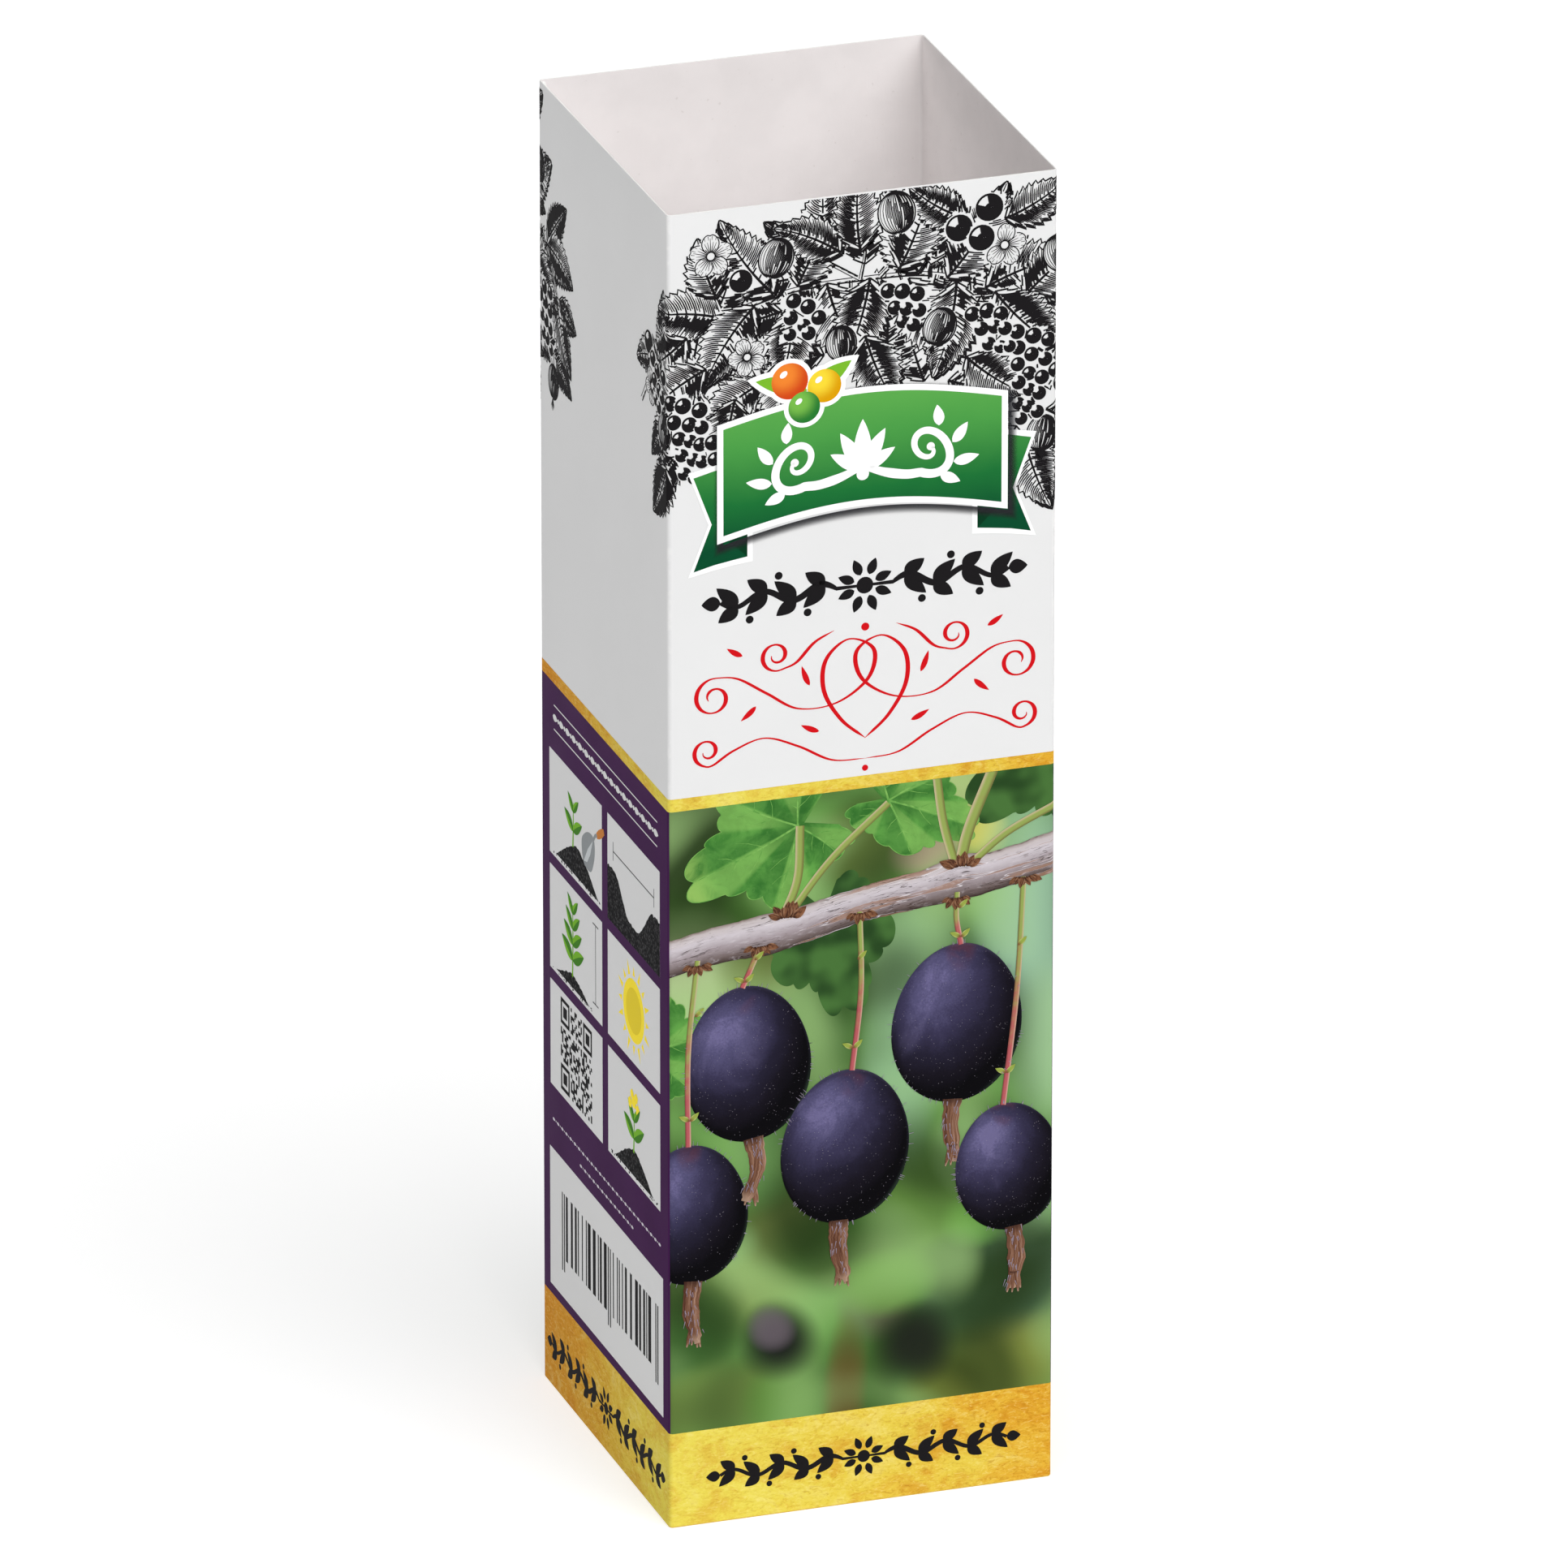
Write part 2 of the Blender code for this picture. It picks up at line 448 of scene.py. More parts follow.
def board_flap(name, outline, height):
    """A flap from its outline seen from above, as a fine net that follows height(x, y)."""
    net = bmesh.new()
    corners = [net.verts.new((x, y, 0)) for x, y in outline]
    for triangle in tessellate_polygon([[Vector((x, y, 0)) for x, y in outline]]):
        net.faces.new([corners[index] for index in triangle])
    for axis, step in enumerate(NET_STEPS):
        low, high = np.min(outline, 0)[axis], np.max(outline, 0)[axis]
        for at in np.arange(low + step, high, step):
            cut_mesh(net, axis, at)
    tops, unders, rims = thick_faces(net)
    spots = np.array([vert.co[:2] for vert in net.verts])
    level = np.array([height(x, y) for x, y in spots])
    net.free()
    points = np.vstack([np.column_stack([spots, level + BOARD]), np.column_stack([spots, level])])
    finishes = [BARE] * len(tops) + [COATED] * len(unders) + [CUT] * len(rims)
    piece = add_piece(name, points, tops + unders + rims, BOARD_FINISHES[:3], finishes)
    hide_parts(name)


def ease(t):
    t = min(max(t, 0.0), 1.0)
    return t * t * (3 - 2 * t)


def mirrored(half):
    """A whole outline from one half of it. The mirror of the half's first point comes first."""
    whole = half + [(-x, y) for x, y in reversed(half)]
    return whole[-1:] + whole[:-1]


REACH_FRONT, REACH_SIDE = 37.0, 24.0
TONGUE, NOTCH, NOTCH_DEPTH = 12.0, 13.5, 11.0
hinge = -front_low.y
free = -hinge + REACH_FRONT
notch_edge = back_low.y + NOTCH_DEPTH
landing = notch_edge - 0.3
tip = front_high.y
lift = front_high.z - BOARD
front_outline = mirrored([
    (hinge, -hinge), (hinge - 1.9, free - 3.5), (hinge - 3.2, free - 0.8), (hinge - 5.5, free),
    (TONGUE + 0.2, free), (TONGUE, free + 0.4), (TONGUE, landing), (TONGUE - 1.6, tip - 3.0),
    (TONGUE - 3.4, tip - 0.7), (TONGUE - 5.5, tip),
])
board_flap("front_base_flap", front_outline, lambda x, y: lift * ease((y - free) / (landing - free)))

hinge = -left_low.x
free = hinge - REACH_SIDE
side_outline = mirrored([
    (hinge, hinge), (hinge - 12.4, free + 3.0), (hinge - 14.0, free + 0.9), (hinge - 16.5, free),
])
for side, name in ((-1, "left_base_flap"), (1, "right_base_flap")):
    board_flap(name, [(side * x, y) for y, x in side_outline], lambda x, y: left_low.z)

hinge, free = back_high.y, back_low.y
back_outline = mirrored([
    (-hinge, hinge), (-hinge + 1.3, free + 3.0), (-hinge + 2.4, free + 0.8), (-hinge + 4.4, free),
    (-NOTCH - 1.2, free), (-NOTCH - 0.3, free + 0.3), (-NOTCH, free + 1.2), (-NOTCH, notch_edge - 1.0),
    (-NOTCH + 1.0, notch_edge),
])
board_flap("back_base_flap", back_outline, lambda x, y: back_low.z)

GLUE_SLOPE = 8.0
glue_ring = [
    (glue_high.y, glue_low.z), (glue_high.y, glue_high.z),
    (glue_low.y + 1.2, glue_high.z - GLUE_SLOPE * 0.92), (glue_low.y, glue_high.z - GLUE_SLOPE - 1.2),
    (glue_low.y, glue_low.z + GLUE_SLOPE + 1.2), (glue_low.y + 1.2, glue_low.z + GLUE_SLOPE * 0.92),
]
points = [(x, y, z) for x in (glue_low.x, glue_high.x) for y, z in glue_ring]
ring = len(glue_ring)
faces = [tuple(range(ring)), tuple(range(2 * ring - 1, ring - 1, -1))]
faces += [((i + 1) % ring, i, i + ring, (i + 1) % ring + ring) for i in range(ring)]
glue_flap = add_piece("glue_flap_board", points, faces, BOARD_FINISHES[:3], [COATED, BARE] + [CUT] * ring)
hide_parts("glue_flap")


# Gold bands
# A narrow and a broad band of gold-toned ink run round all four walls, above and below the
# pictures. The tone drifts from pale yellow to deep orange and is mottled like gold leaf.

INK_DEPTH = 0.6
INK_TIER = 0.0009
TIERS = 8


class Drawing:
    """Flat shapes on the unfolded board, in mm along the walls and up, for one film of ink."""

    def __init__(self):
        self.mesh = bmesh.new()
        self.local = self.mesh.verts.layers.float_vector.new("shape")
        self.tier = 0

    def corners(self, points, local, lift=0.0):
        """New corners. Each shape lies a hair higher than the last, so crossing shapes stay clean."""
        made = [self.mesh.verts.new((s, z, self.tier + lift)) for s, z in points]
        if local is not None:
            for corner, spot in zip(made, local):
                corner[self.local] = spot
        return made

    def next_tier(self):
        """The tiers take turns. The first shape of a drawing lies below them all."""
        self.tier = self.tier % TIERS + 1

    def area(self, *loops, local=None):
        """Fills an outline, less the holes that follow it."""
        corners = self.corners([point for loop in loops for point in loop], local)
        for triangle in tessellate_polygon([[Vector((s, z, 0)) for s, z in loop] for loop in loops]):
            if len(set(triangle)) == 3:
                self.mesh.faces.new([corners[index] for index in triangle])
        self.next_tier()

    def box(self, low_s, low_z, high_s, high_z):
        ring = self.corners([(low_s, low_z), (high_s, low_z), (high_s, high_z), (low_s, high_z)], None)
        self.mesh.faces.new(ring)
        self.next_tier()

    def stroke(self, line, widths, local=None):
        """Draws a line as a ribbon, half a tier up, with one width or a width at each point."""
        line = np.asarray(line, float)
        along = np.gradient(line, axis=0)
        along /= np.maximum(np.linalg.norm(along, axis=1, keepdims=True), 1e-9)
        half = np.broadcast_to(np.asarray(widths, float) / 2, len(line))[:, None]
        aside = np.stack([-along[:, 1], along[:, 0]], 1) * half
        left = self.corners(line + aside, local and local[0], 0.5)
        right = self.corners(line - aside, local and local[1], 0.5)
        for a, b, c, d in zip(right, right[1:], left[1:], left):
            self.mesh.faces.new((a, b, c, d))
        self.next_tier()

    def print(self, name, level, finish, window=None):
        """Cuts the drawing to its window, folds it round the corners and prints it on the board."""
        mesh = self.mesh
        if window:
            low_s, low_z, high_s, high_z = window
            for axis, at, keep in ((0, low_s, 1), (0, high_s, -1), (1, low_z, 1), (1, high_z, -1)):
                cut_mesh(mesh, axis, at, keep)
        reach = [vert.co.x for vert in mesh.verts]
        for corner in range(-1, 6):
            for line in bend_lines(corner):
                if min(reach) < line < max(reach):
                    cut_mesh(mesh, 0, line)
        tops, unders, rims = thick_faces(mesh)
        flat = np.array([vert.co[:] for vert in mesh.verts])
        local = np.array([vert[self.local][:] for vert in mesh.verts])
        mesh.free()
        over = fold(flat[:, 0], flat[:, 1], level * INK + flat[:, 2] * INK_TIER)
        flat[:, 2] = 0
        under = fold(flat[:, 0], flat[:, 1], (level - INK_DEPTH) * INK)
        piece = add_piece(name, np.vstack([over, under]), tops + unders + rims, (finish,))
        for title, values in (("sheet", flat), ("shape", local)):
            layer = piece.data.attributes.new(title, "FLOAT_VECTOR", "POINT")
            layer.data.foreach_set("vector", np.vstack([values, values]).ravel())
        low, high = flat.min(0), flat.max(0)
        unit = (flat[:, :2] - low[:2]) / (high[:2] - low[:2])
        corner_points = np.empty(len(piece.data.loops), int)
        piece.data.loops.foreach_get("vertex_index", corner_points)
        chart = piece.data.uv_layers.new(name="OFBake")
        chart.uv.foreach_set("vector", np.vstack([unit, unit])[corner_points].ravel())


def seen(red, green, blue, light=1.2):
    """The colour of an ink that shows as these 0-255 values where a wall has this much light."""
    values = np.array([red, green, blue]) / 255
    linear = np.where(values > 0.04045, ((values + 0.055) / 1.055) ** 2.4, values / 12.92) / light
    return tuple(float(value) for value in np.minimum(linear, 0.97))


def attribute(wires, name):
    return wires.node("Attribute", {"attribute_name": name}, output=1)


LOWER_BAND = (0.0, 20.5)
UPPER_BAND = (154.3, 157.0)
PALE_GOLD, GOLD, DEEP_GOLD = seen(236, 218, 88), seen(234, 208, 78), seen(232, 178, 54)
DARK_GOLD, BRIGHT_GOLD = seen(176, 104, 20), seen(250, 236, 150)

gold_ink, wires, shader = new_ink("gold_ink", 0.50)
sheet = attribute(wires, "sheet")
s, z, _ = sheet.parts()
from_edge = (s / SIDE - 1.0).math("PINGPONG", 1.0)
drift = from_edge + (wires.noise(sheet, 0.045, 2.0, 0.6) - 0.5) * 1.1
gold = wires.mix(drift.ramp(0.10, 0.55), PALE_GOLD, GOLD)
gold = wires.mix(drift.ramp(0.50, 1.10), gold, DEEP_GOLD)
gold = wires.mix(s.ramp(SIDE, 0.0) * 0.70, gold, seen(220, 136, 30))
leaf_place = wires.node("Mapping", None, {0: sheet, 2: (0, 0, 0.5), 3: (0.55, 1.3, 1.0)})
leaf_grain = wires.noise(leaf_place, 1.1, 6.0, 0.72, 1.2)
smear_place = wires.node("Mapping", None, {0: sheet, 3: (0.7, 1.0, 1.0)})
smear = wires.noise(smear_place, 0.13, 5.0, 0.7, 0.9)
gold = wires.mix(smear.ramp(0.47, 0.66) * (0.34 + drift * 0.22), gold, seen(210, 132, 26))
gold = wires.mix(smear.ramp(0.48, 0.32) * 0.30, gold, BRIGHT_GOLD)
gold = wires.mix(leaf_grain.ramp(0.50, 0.68) * (0.30 + drift * 0.24), gold, DARK_GOLD)
gold = wires.mix(leaf_grain.ramp(0.48, 0.32) * 0.40, gold, BRIGHT_GOLD)
feed(shader, "Base Color", gold)

ALL_WALLS = ((LEFT, "left"), (FRONT, "front"), (RIGHT, "right"), (BACK, "back"))
for wall, title in ALL_WALLS:
    for band, (low, high) in (("lower", LOWER_BAND), ("upper", UPPER_BAND)):
        drawing = Drawing()
        drawing.box(wall, max(low, FOOT_ROUND), wall + SIDE, high)
        drawing.print(f"{band}_gold_band_{title}", 1, gold_ink)


# Ornament lines
# A bold black vine that runs both ways from a flower is printed over each lower gold band, and a
# larger one stands under the emblem of the front and the back.

SIDE_WALLS, PICTURE_WALLS = ALL_WALLS[0::2], ALL_WALLS[1::2]


def toward(angle):
    """The direction of an angle in degrees."""
    return np.array([math.cos(math.radians(angle)), math.sin(math.radians(angle))])


def placed(x, y, s, z, angle):
    """Points turned by an angle in degrees and moved to (s, z)."""
    cos, sin = toward(angle)
    return np.stack([s + x * cos - y * sin, z + x * sin + y * cos], -1)


def round_shape(s, z, width, height=None, angle=0.0, count=20):
    """An ellipse about a centre, turned by an angle in degrees."""
    turn = np.linspace(0, 2 * math.pi, count, endpoint=False)
    return placed(np.cos(turn) * width / 2, np.sin(turn) * (height or width) / 2, s, z, angle)


def leaf_shape(s, z, length, width, angle, bend=0.0, count=12):
    """A pointed leaf from its base, bent sideways by a share of its length."""
    t = np.linspace(0, 1, count)
    half = width / 2 * np.sin(math.pi * t**0.8) ** 0.85
    middle = bend * length * t * t
    x = np.concatenate([t, t[-2:0:-1]]) * length
    y = np.concatenate([middle - half, (middle + half)[-2:0:-1]])
    return placed(x, y, s, z, angle)


def flipped(angle, side):
    """An angle, mirrored left to right on the left side."""
    return angle if side > 0 else 180 - angle


def ornament_row(drawing, low_s, high_s, middle, height, count):
    """A wavy vine that runs both ways from a flower, with count pairs of leaves on each side."""
    centre, flower = (low_s + high_s) / 2, height * 0.50
    drawing.area(round_shape(centre, middle, height * 0.30))
    for petal in range(8):
        angle = petal * 45 + 22.5
        base = (centre, middle) + toward(angle) * height * 0.20
        drawing.area(leaf_shape(*base, height * 0.31, height * 0.17, angle))
    wave = ((high_s - low_s) / 2 - flower - height * 0.30) / count
    for side in (1, -1):
        share = np.linspace(0, count, 14 * count)
        swing = height * 0.11 * np.sin(math.pi * share)
        line = np.stack([centre + side * (flower + share * wave), middle + swing], 1)
        widths = height * np.interp(share, (0, 0.5, count), (0.07, 0.13, 0.08))
        root = (centre + side * height * 0.12, middle)
        drawing.stroke(np.vstack([[root], line]), [height * 0.05, *widths])
        for pair in range(count):
            up = -1 if pair % 2 else 1
            s = centre + side * (flower + (pair + 0.42) * wave)
            for way, length, lean in ((up, 0.42, 46), (-up, 0.52, 54)):
                shape = (height * length, height * 0.25, flipped(lean * way, side), -0.16 * side * way)
                drawing.area(leaf_shape(s, middle + up * height * 0.10, *shape))
            if pair:
                s = centre + side * (flower + pair * wave)
                drawing.area(round_shape(s, middle + up * height * 0.36, height * 0.14, count=16))
        tip = (centre + side * (flower + count * wave), middle)
        drawing.area(leaf_shape(*tip, height * 0.34, height * 0.26, 90 - 90 * side))


def plain_ink(name, colour, gloss=0.46):
    ink, wires, shader = new_finish(name)
    feed(shader, "Base Color", colour)
    varnish(wires, shader, gloss)
    return ink


black_ink = plain_ink("black_ink", (0.012, 0.011, 0.012), 0.44)

PICTURE_BAND_ROW = ("band", 2, 8.0, 74.0, 10.1, 8.8, 5)
TITLE_ROW = ("title", 1, 7.4, 74.6, 197.4, 11.8, 4)
SIDE_BAND_ROW = ("band", 2, 3.0, 78.0, 9.4, 8.8, 6)
for walls, rows in ((PICTURE_WALLS, (PICTURE_BAND_ROW, TITLE_ROW)), (SIDE_WALLS, (SIDE_BAND_ROW,))):
    for wall, title in walls:
        for place, level, low_s, high_s, middle, height, count in rows:
            drawing = Drawing()
            ornament_row(drawing, wall + low_s, wall + high_s, middle, height, count)
            drawing.print(f"{place}_ornament_{title}", level, black_ink)


# Red flourish
# A pen flourish in red ink stands between the black vine and the upper gold band. It is looped like
# the lines of a fine nib that swells on the down strokes.

PEN_THIN, PEN_BROAD = 0.26, 0.95
PEN_EVEN = 6
PEN_END = 12
SPAN_STEPS = 16
red_ink = plain_ink("red_ink", seen(214, 22, 30), 0.44)


def smooth_line(controls, step, closed=False):
    """A smooth line through points, with a point at each step of its length."""
    controls = np.asarray(controls, float)
    if closed:
        padded = np.vstack([controls[-1:], controls, controls[:2]])
    else:
        padded = np.vstack([2 * controls[0] - controls[1], controls, 2 * controls[-1] - controls[-2]])
    t = np.linspace(0, 1, SPAN_STEPS, endpoint=False)[:, None]
    parts = []
    for a, b, c, d in zip(padded, padded[1:], padded[2:], padded[3:]):
        curve = 2 * b + (c - a) * t + (2 * a - 5 * b + 4 * c - d) * t**2 + (3 * b - a - 3 * c + d) * t**3
        parts.append(0.5 * curve)
    line = np.vstack([*parts, padded[-2:-1]])
    length = np.concatenate([[0], np.cumsum(np.linalg.norm(np.diff(line, axis=0), axis=1))])
    even = np.linspace(0, length[-1], max(3, round(length[-1] / step) + 1))
    even = even[:-1] if closed else even
    return np.stack([np.interp(even, length, line[:, 0]), np.interp(even, length, line[:, 1])], 1)


def pen_line(drawing, controls):
    """A nib's line: broad where it runs up or down, thin where it runs across. It is drawn in two
    strokes, so that the second can cross over the first."""
    line = smooth_line(controls, 0.22)
    along = np.gradient(line, axis=0)
    along /= np.linalg.norm(along, axis=1, keepdims=True)
    press = np.abs(along[:, 1]) ** 1.5
    about = 2 * PEN_EVEN + 1
    press = np.convolve(np.pad(press, PEN_EVEN, mode="edge"), np.ones(about) / about, "valid")
    place = np.arange(len(line))
    ends = np.minimum(1, np.minimum(place, place[::-1]) / PEN_END + 0.15)
    widths = (PEN_THIN + (PEN_BROAD - PEN_THIN) * press) * ends
    early = len(line) // 4
    drawing.stroke(line[: early + 1], widths[: early + 1])
    drawing.stroke(line[early:], widths[early:])


def curl(s, z, radius, start, turns):
    """Points of a curl that winds inwards, clockwise where turns is below 0."""
    share = np.linspace(0, 1, round(abs(turns) * 10) + 1)
    turn = math.radians(start) + share * turns * 2 * math.pi
    reach = radius * (1 - 0.72 * share)
    return tuple(zip(s + np.cos(turn) * reach, z + np.sin(turn) * reach))


FLOURISH_S, FLOURISH_Z = SIDE / 2 + 0.6, 174.0
PEN_LINES = (
    (
        (0, -9), (5, -4.5), (8.6, 2), (8.2, 8.6), (3.4, 12.4), (-1.8, 9.6), (-0.6, 3.6), (6, -0.8),
        (14, -1.0), (20.5, 3.0), (26.4, 6.8), *curl(31.6, 3.4, 4.3, 102, -1.35),
    ),
    ((0, -13.4), (7, -12.8), (14, -9.0), (21, -6.4), (27.4, -8.2), *curl(33.0, -7.8, 3.2, -112, 1.3)),
    ((6.5, 14.6), (10.6, 12.6), (14.2, 9.0), *curl(18.6, 10.8, 3.4, -122, 1.35)),
)
PEN_DROPS = ((11.6, 3.6, 62, 4.6), (22.8, 0.6, -48, 4.2), (9.6, -6.4, 18, 4.2), (25.6, 11.6, 24, 3.8))
PEN_DOTS = ((188.6, 1.7), (158.6, 1.3))
for wall, title in PICTURE_WALLS:
    drawing = Drawing()
    middle = wall + FLOURISH_S
    for side in (1, -1):
        for controls in PEN_LINES:
            pen_line(drawing, [(middle + side * x, FLOURISH_Z + z) for x, z in controls])
        for x, z, angle, size in PEN_DROPS:
            shape = (size, 1.2, flipped(angle, side), 0.12 * side)
            drawing.area(leaf_shape(middle + side * x, FLOURISH_Z + z, *shape))
    for z, size in PEN_DOTS:
        drawing.area(round_shape(middle, z, size, count=18))
    drawing.print(f"red_flourish_{title}", 1, red_ink)


# Guide panels
# The two side walls carry a purple panel with six light boxes of planting pictures, a row of
# leaves and dots above them, beaded rules below, and a light label with a bar pattern.

GUIDE_LOW, GUIDE_HIGH = LOWER_BAND[1], UPPER_BAND[0]
BOX_COLUMNS = ((5.4, 38.9), (42.5, 75.5))
BOX_ROWS = ((117.0, 139.6), (92.0, 114.5), (66.6, 89.5))
LABEL = (4.8, 22.6, 77.1, 52.7)
PURPLE = (0.050, 0.0115, 0.064)

purple_ink, wires, shader = new_ink("purple_ink", 0.44)
sheet = attribute(wires, "sheet")
cloud = wires.noise(sheet, 0.06, 3.0).ramp(0.3, 0.7)
screen = wires.noise(sheet, 5.0, 2.0).ramp(0.3, 0.7)
purple = wires.mix(cloud, shaded(PURPLE, 0.93), shaded(PURPLE, 1.05))
feed(shader, "Base Color", wires.mix(screen * 0.10, purple, shaded(PURPLE, 1.5)))

light_ink = plain_ink("light_ink", shaded(COATED_WHITE, 0.975))
pale_ink = plain_ink("pale_ink", (0.62, 0.58, 0.64))
HEADING_Z = 147.0
HEADING_LEAVES, HEADING_DOTS = np.arange(9.2, 73.4, 4.0), np.arange(11.2, 72.0, 4.0)
HEADING_RULES = (149.6, 144.4)
RULE_HALF = 0.14
DOT_RULES = ((7.4, 75.0, 59.3), (24.8, 57.6, 56.0))

for wall, title in SIDE_WALLS:
    drawing = Drawing()
    drawing.box(wall, GUIDE_LOW, wall + SIDE, GUIDE_HIGH)
    drawing.print(f"guide_ground_{title}", 1, purple_ink)
    drawing = Drawing()
    for low_s, high_s in BOX_COLUMNS:
        for low_z, high_z in BOX_ROWS:
            drawing.box(wall + low_s, low_z, wall + high_s, high_z)
    drawing.box(wall + LABEL[0], LABEL[1], wall + LABEL[2], LABEL[3])
    drawing.print(f"guide_boxes_{title}", 2, light_ink)

    drawing = Drawing()
    for s in HEADING_LEAVES:
        drawing.area(leaf_shape(wall + s - 1.5, HEADING_Z, 3.0, 1.5, 0.0, count=9))
    for s in HEADING_DOTS:
        drawing.area(round_shape(wall + s, HEADING_Z, 1.0, count=14))
    for z in HEADING_RULES:
        drawing.box(wall + 8.4, z - RULE_HALF, wall + 74.0, z + RULE_HALF)
    drawing.print(f"guide_heading_{title}", 2, light_ink)

    drawing = Drawing()
    for low_s, high_s, z in DOT_RULES:
        spots = np.linspace(low_s, high_s, round((high_s - low_s) / 2.6))
        for s in spots:
            drawing.area(round_shape(wall + s, z, 1.5, 0.62, 0.0, 12))
        for s in (spots[:-1] + spots[1:]) / 2:
            drawing.area(round_shape(wall + s, z, 0.42, count=8))
    drawing.print(f"guide_rules_{title}", 2, pale_ink)


# Bar pattern
# Upright black bars of mixed widths on the light label, taller in pairs at both ends and in the
# middle. They encode nothing.

BAR_LOW, BAR_HIGH, GUARD_LOW = 31.2, 45.5, 28.4
BARS_FROM, MODULE = 12.4, 0.643
GUARD_STARTS = (0, 2, 46, 48, 93, 95)
draw = np.random.default_rng(41)
bars = [(start, 1, GUARD_LOW) for start in GUARD_STARTS]
for low, high in ((4, 45), (51, 92)):
    at = low
    while at < high - 1:
        width = min(int(draw.choice((1, 1, 1, 2, 2, 3))), high - at)
        bars.append((at, width, BAR_LOW))
        at += width + int(draw.choice((1, 1, 2, 2, 3)))
for wall, title in SIDE_WALLS:
    drawing = Drawing()
    for start, width, low in bars:
        s = wall + BARS_FROM + start * MODULE
        drawing.box(s, low, s + width * MODULE * 0.94, BAR_HIGH)
    drawing.print(f"guide_bars_{title}", 3, black_ink)


# Planting pictures
# Small drawings fill the light boxes: a sapling on a heap with a trowel, a planting pit with its
# width, a tall plant with its height, the sun, a patch of square dots and a plant in flower.

MID_LIGHT = 0.80
soil_ink, wires, shader = new_ink("soil_ink", 0.50)
sheet = attribute(wires, "sheet")
crumbs = wires.node("TexVoronoi", None, {"Vector": sheet, "Scale": 1.5, "Randomness": 1.0})
crumb_tone = wires.noise(sheet, 1.7, 3.0, 0.7).ramp(0.35, 0.7)
dark = wires.mix(crumb_tone, (0.010, 0.010, 0.011), (0.075, 0.073, 0.075))
feed(shader, "Base Color", wires.mix(crumbs.ramp(0.30, 0.62), dark, (0.006, 0.006, 0.007)))

grey_ink = plain_ink("grey_ink", (0.10, 0.10, 0.105), 0.44)
leaf_ink = plain_ink("leaf_ink", seen(104, 158, 40, MID_LIGHT))
dark_leaf_ink = plain_ink("dark_leaf_ink", seen(58, 112, 30, MID_LIGHT))
sun_ink = plain_ink("sun_ink", seen(226, 204, 52, MID_LIGHT))
sun_middle_ink = plain_ink("sun_middle_ink", seen(206, 184, 44, MID_LIGHT))
steel_ink = plain_ink("steel_ink", seen(128, 132, 134, MID_LIGHT))
pale_steel_ink = plain_ink("pale_steel_ink", seen(176, 180, 182, MID_LIGHT))
handle_ink = plain_ink("handle_ink", seen(176, 110, 52, MID_LIGHT))


def heap(drawing, s, low, width, height, seed):
    """A heap of crumbly soil with loose crumbs at its foot."""
    toss = np.random.default_rng(seed)
    x = np.linspace(-1, 1, 33)
    top = height * (1 - np.abs(x) ** 1.5) ** 1.1 + toss.uniform(-0.22, 0.22, 33) * (1 - x * x)
    top[0] = top[-1] = 0.15
    crest = np.column_stack([s + x * width / 2, low + top])
    drawing.area(np.vstack([crest, [(s + width / 2, low), (s - width / 2, low)]])[::-1])
    for _ in range(26):
        at = toss.uniform(-0.62, 0.62)
        size = toss.uniform(0.35, 0.8)
        z = low + toss.uniform(-0.5, 0.25)
        drawing.area(round_shape(s + at * width, z, size, size * 0.7, toss.uniform(0, 90), 7))


def plant(light, dark, s, low, height, pairs, spread):
    """An upright stalk with opposite leaves, each with a light and a dark half."""
    light.stroke([(s - 0.25, low), (s + 0.1, low + height * 0.5), (s, low + height)], (0.75, 0.55, 0.3))
    for index in range(pairs):
        share = (index + 0.6) / pairs
        z = low + height * (0.10 + 0.86 * share)
        length = spread * (1.0 - 0.45 * share)
        for side in (-1, 1):
            angle, bend = 90 - side * (64 - 30 * share), side * -0.10
            leaf = leaf_shape(s, z, length, length * 0.40, angle, bend)
            light.area(leaf)
            halfway, end = (placed(t * length, bend * length * t * t, s, z, angle) for t in (0.5, 0.96))
            dark.stroke(smooth_line([(s, z), halfway, end], 0.6), 0.30)
            t = np.linspace(0, 1, 12)
            spine = placed(t * length, bend * length * t * t, s, z, angle)
            dark.area(np.vstack([spine, leaf[:12][-2:0:-1]]))


TROWEL_BLADE = (
    (0, 0), (2.4, -1.6), (3.9, -4.6), (4.0, -8.0), (0, -10.6), (-4.0, -8.0), (-3.9, -4.6), (-2.4, -1.6),
)
TROWEL_SHINE = ((0, -0.8), (1.2, -4.5), (1.3, -7.6), (0, -9.4), (-0.4, -5.0))
TROWEL_NECK = ((0, -0.6), (0, 1.6), (0.6, 2.6))
TROWEL_HANDLE = ((0.5, 2.4), (1.1, 4.2), (1.7, 6.0), (2.2, 7.4))
SUN_RAYS, RAY_HALF, RAY_FROM, RAY_TO = 16, math.radians(5.4), 7.5, (9.6, 10.6)
CELLS, MARK, PATCH_SIDE = 25, 7, 20.0
FLOWER_HEADS = ((0, 17.0, 2.7), (-2.4, 16.2, 2.3), (2.4, 16.1, 2.3), (-1.2, 18.4, 2.0), (1.4, 18.3, 2.1))

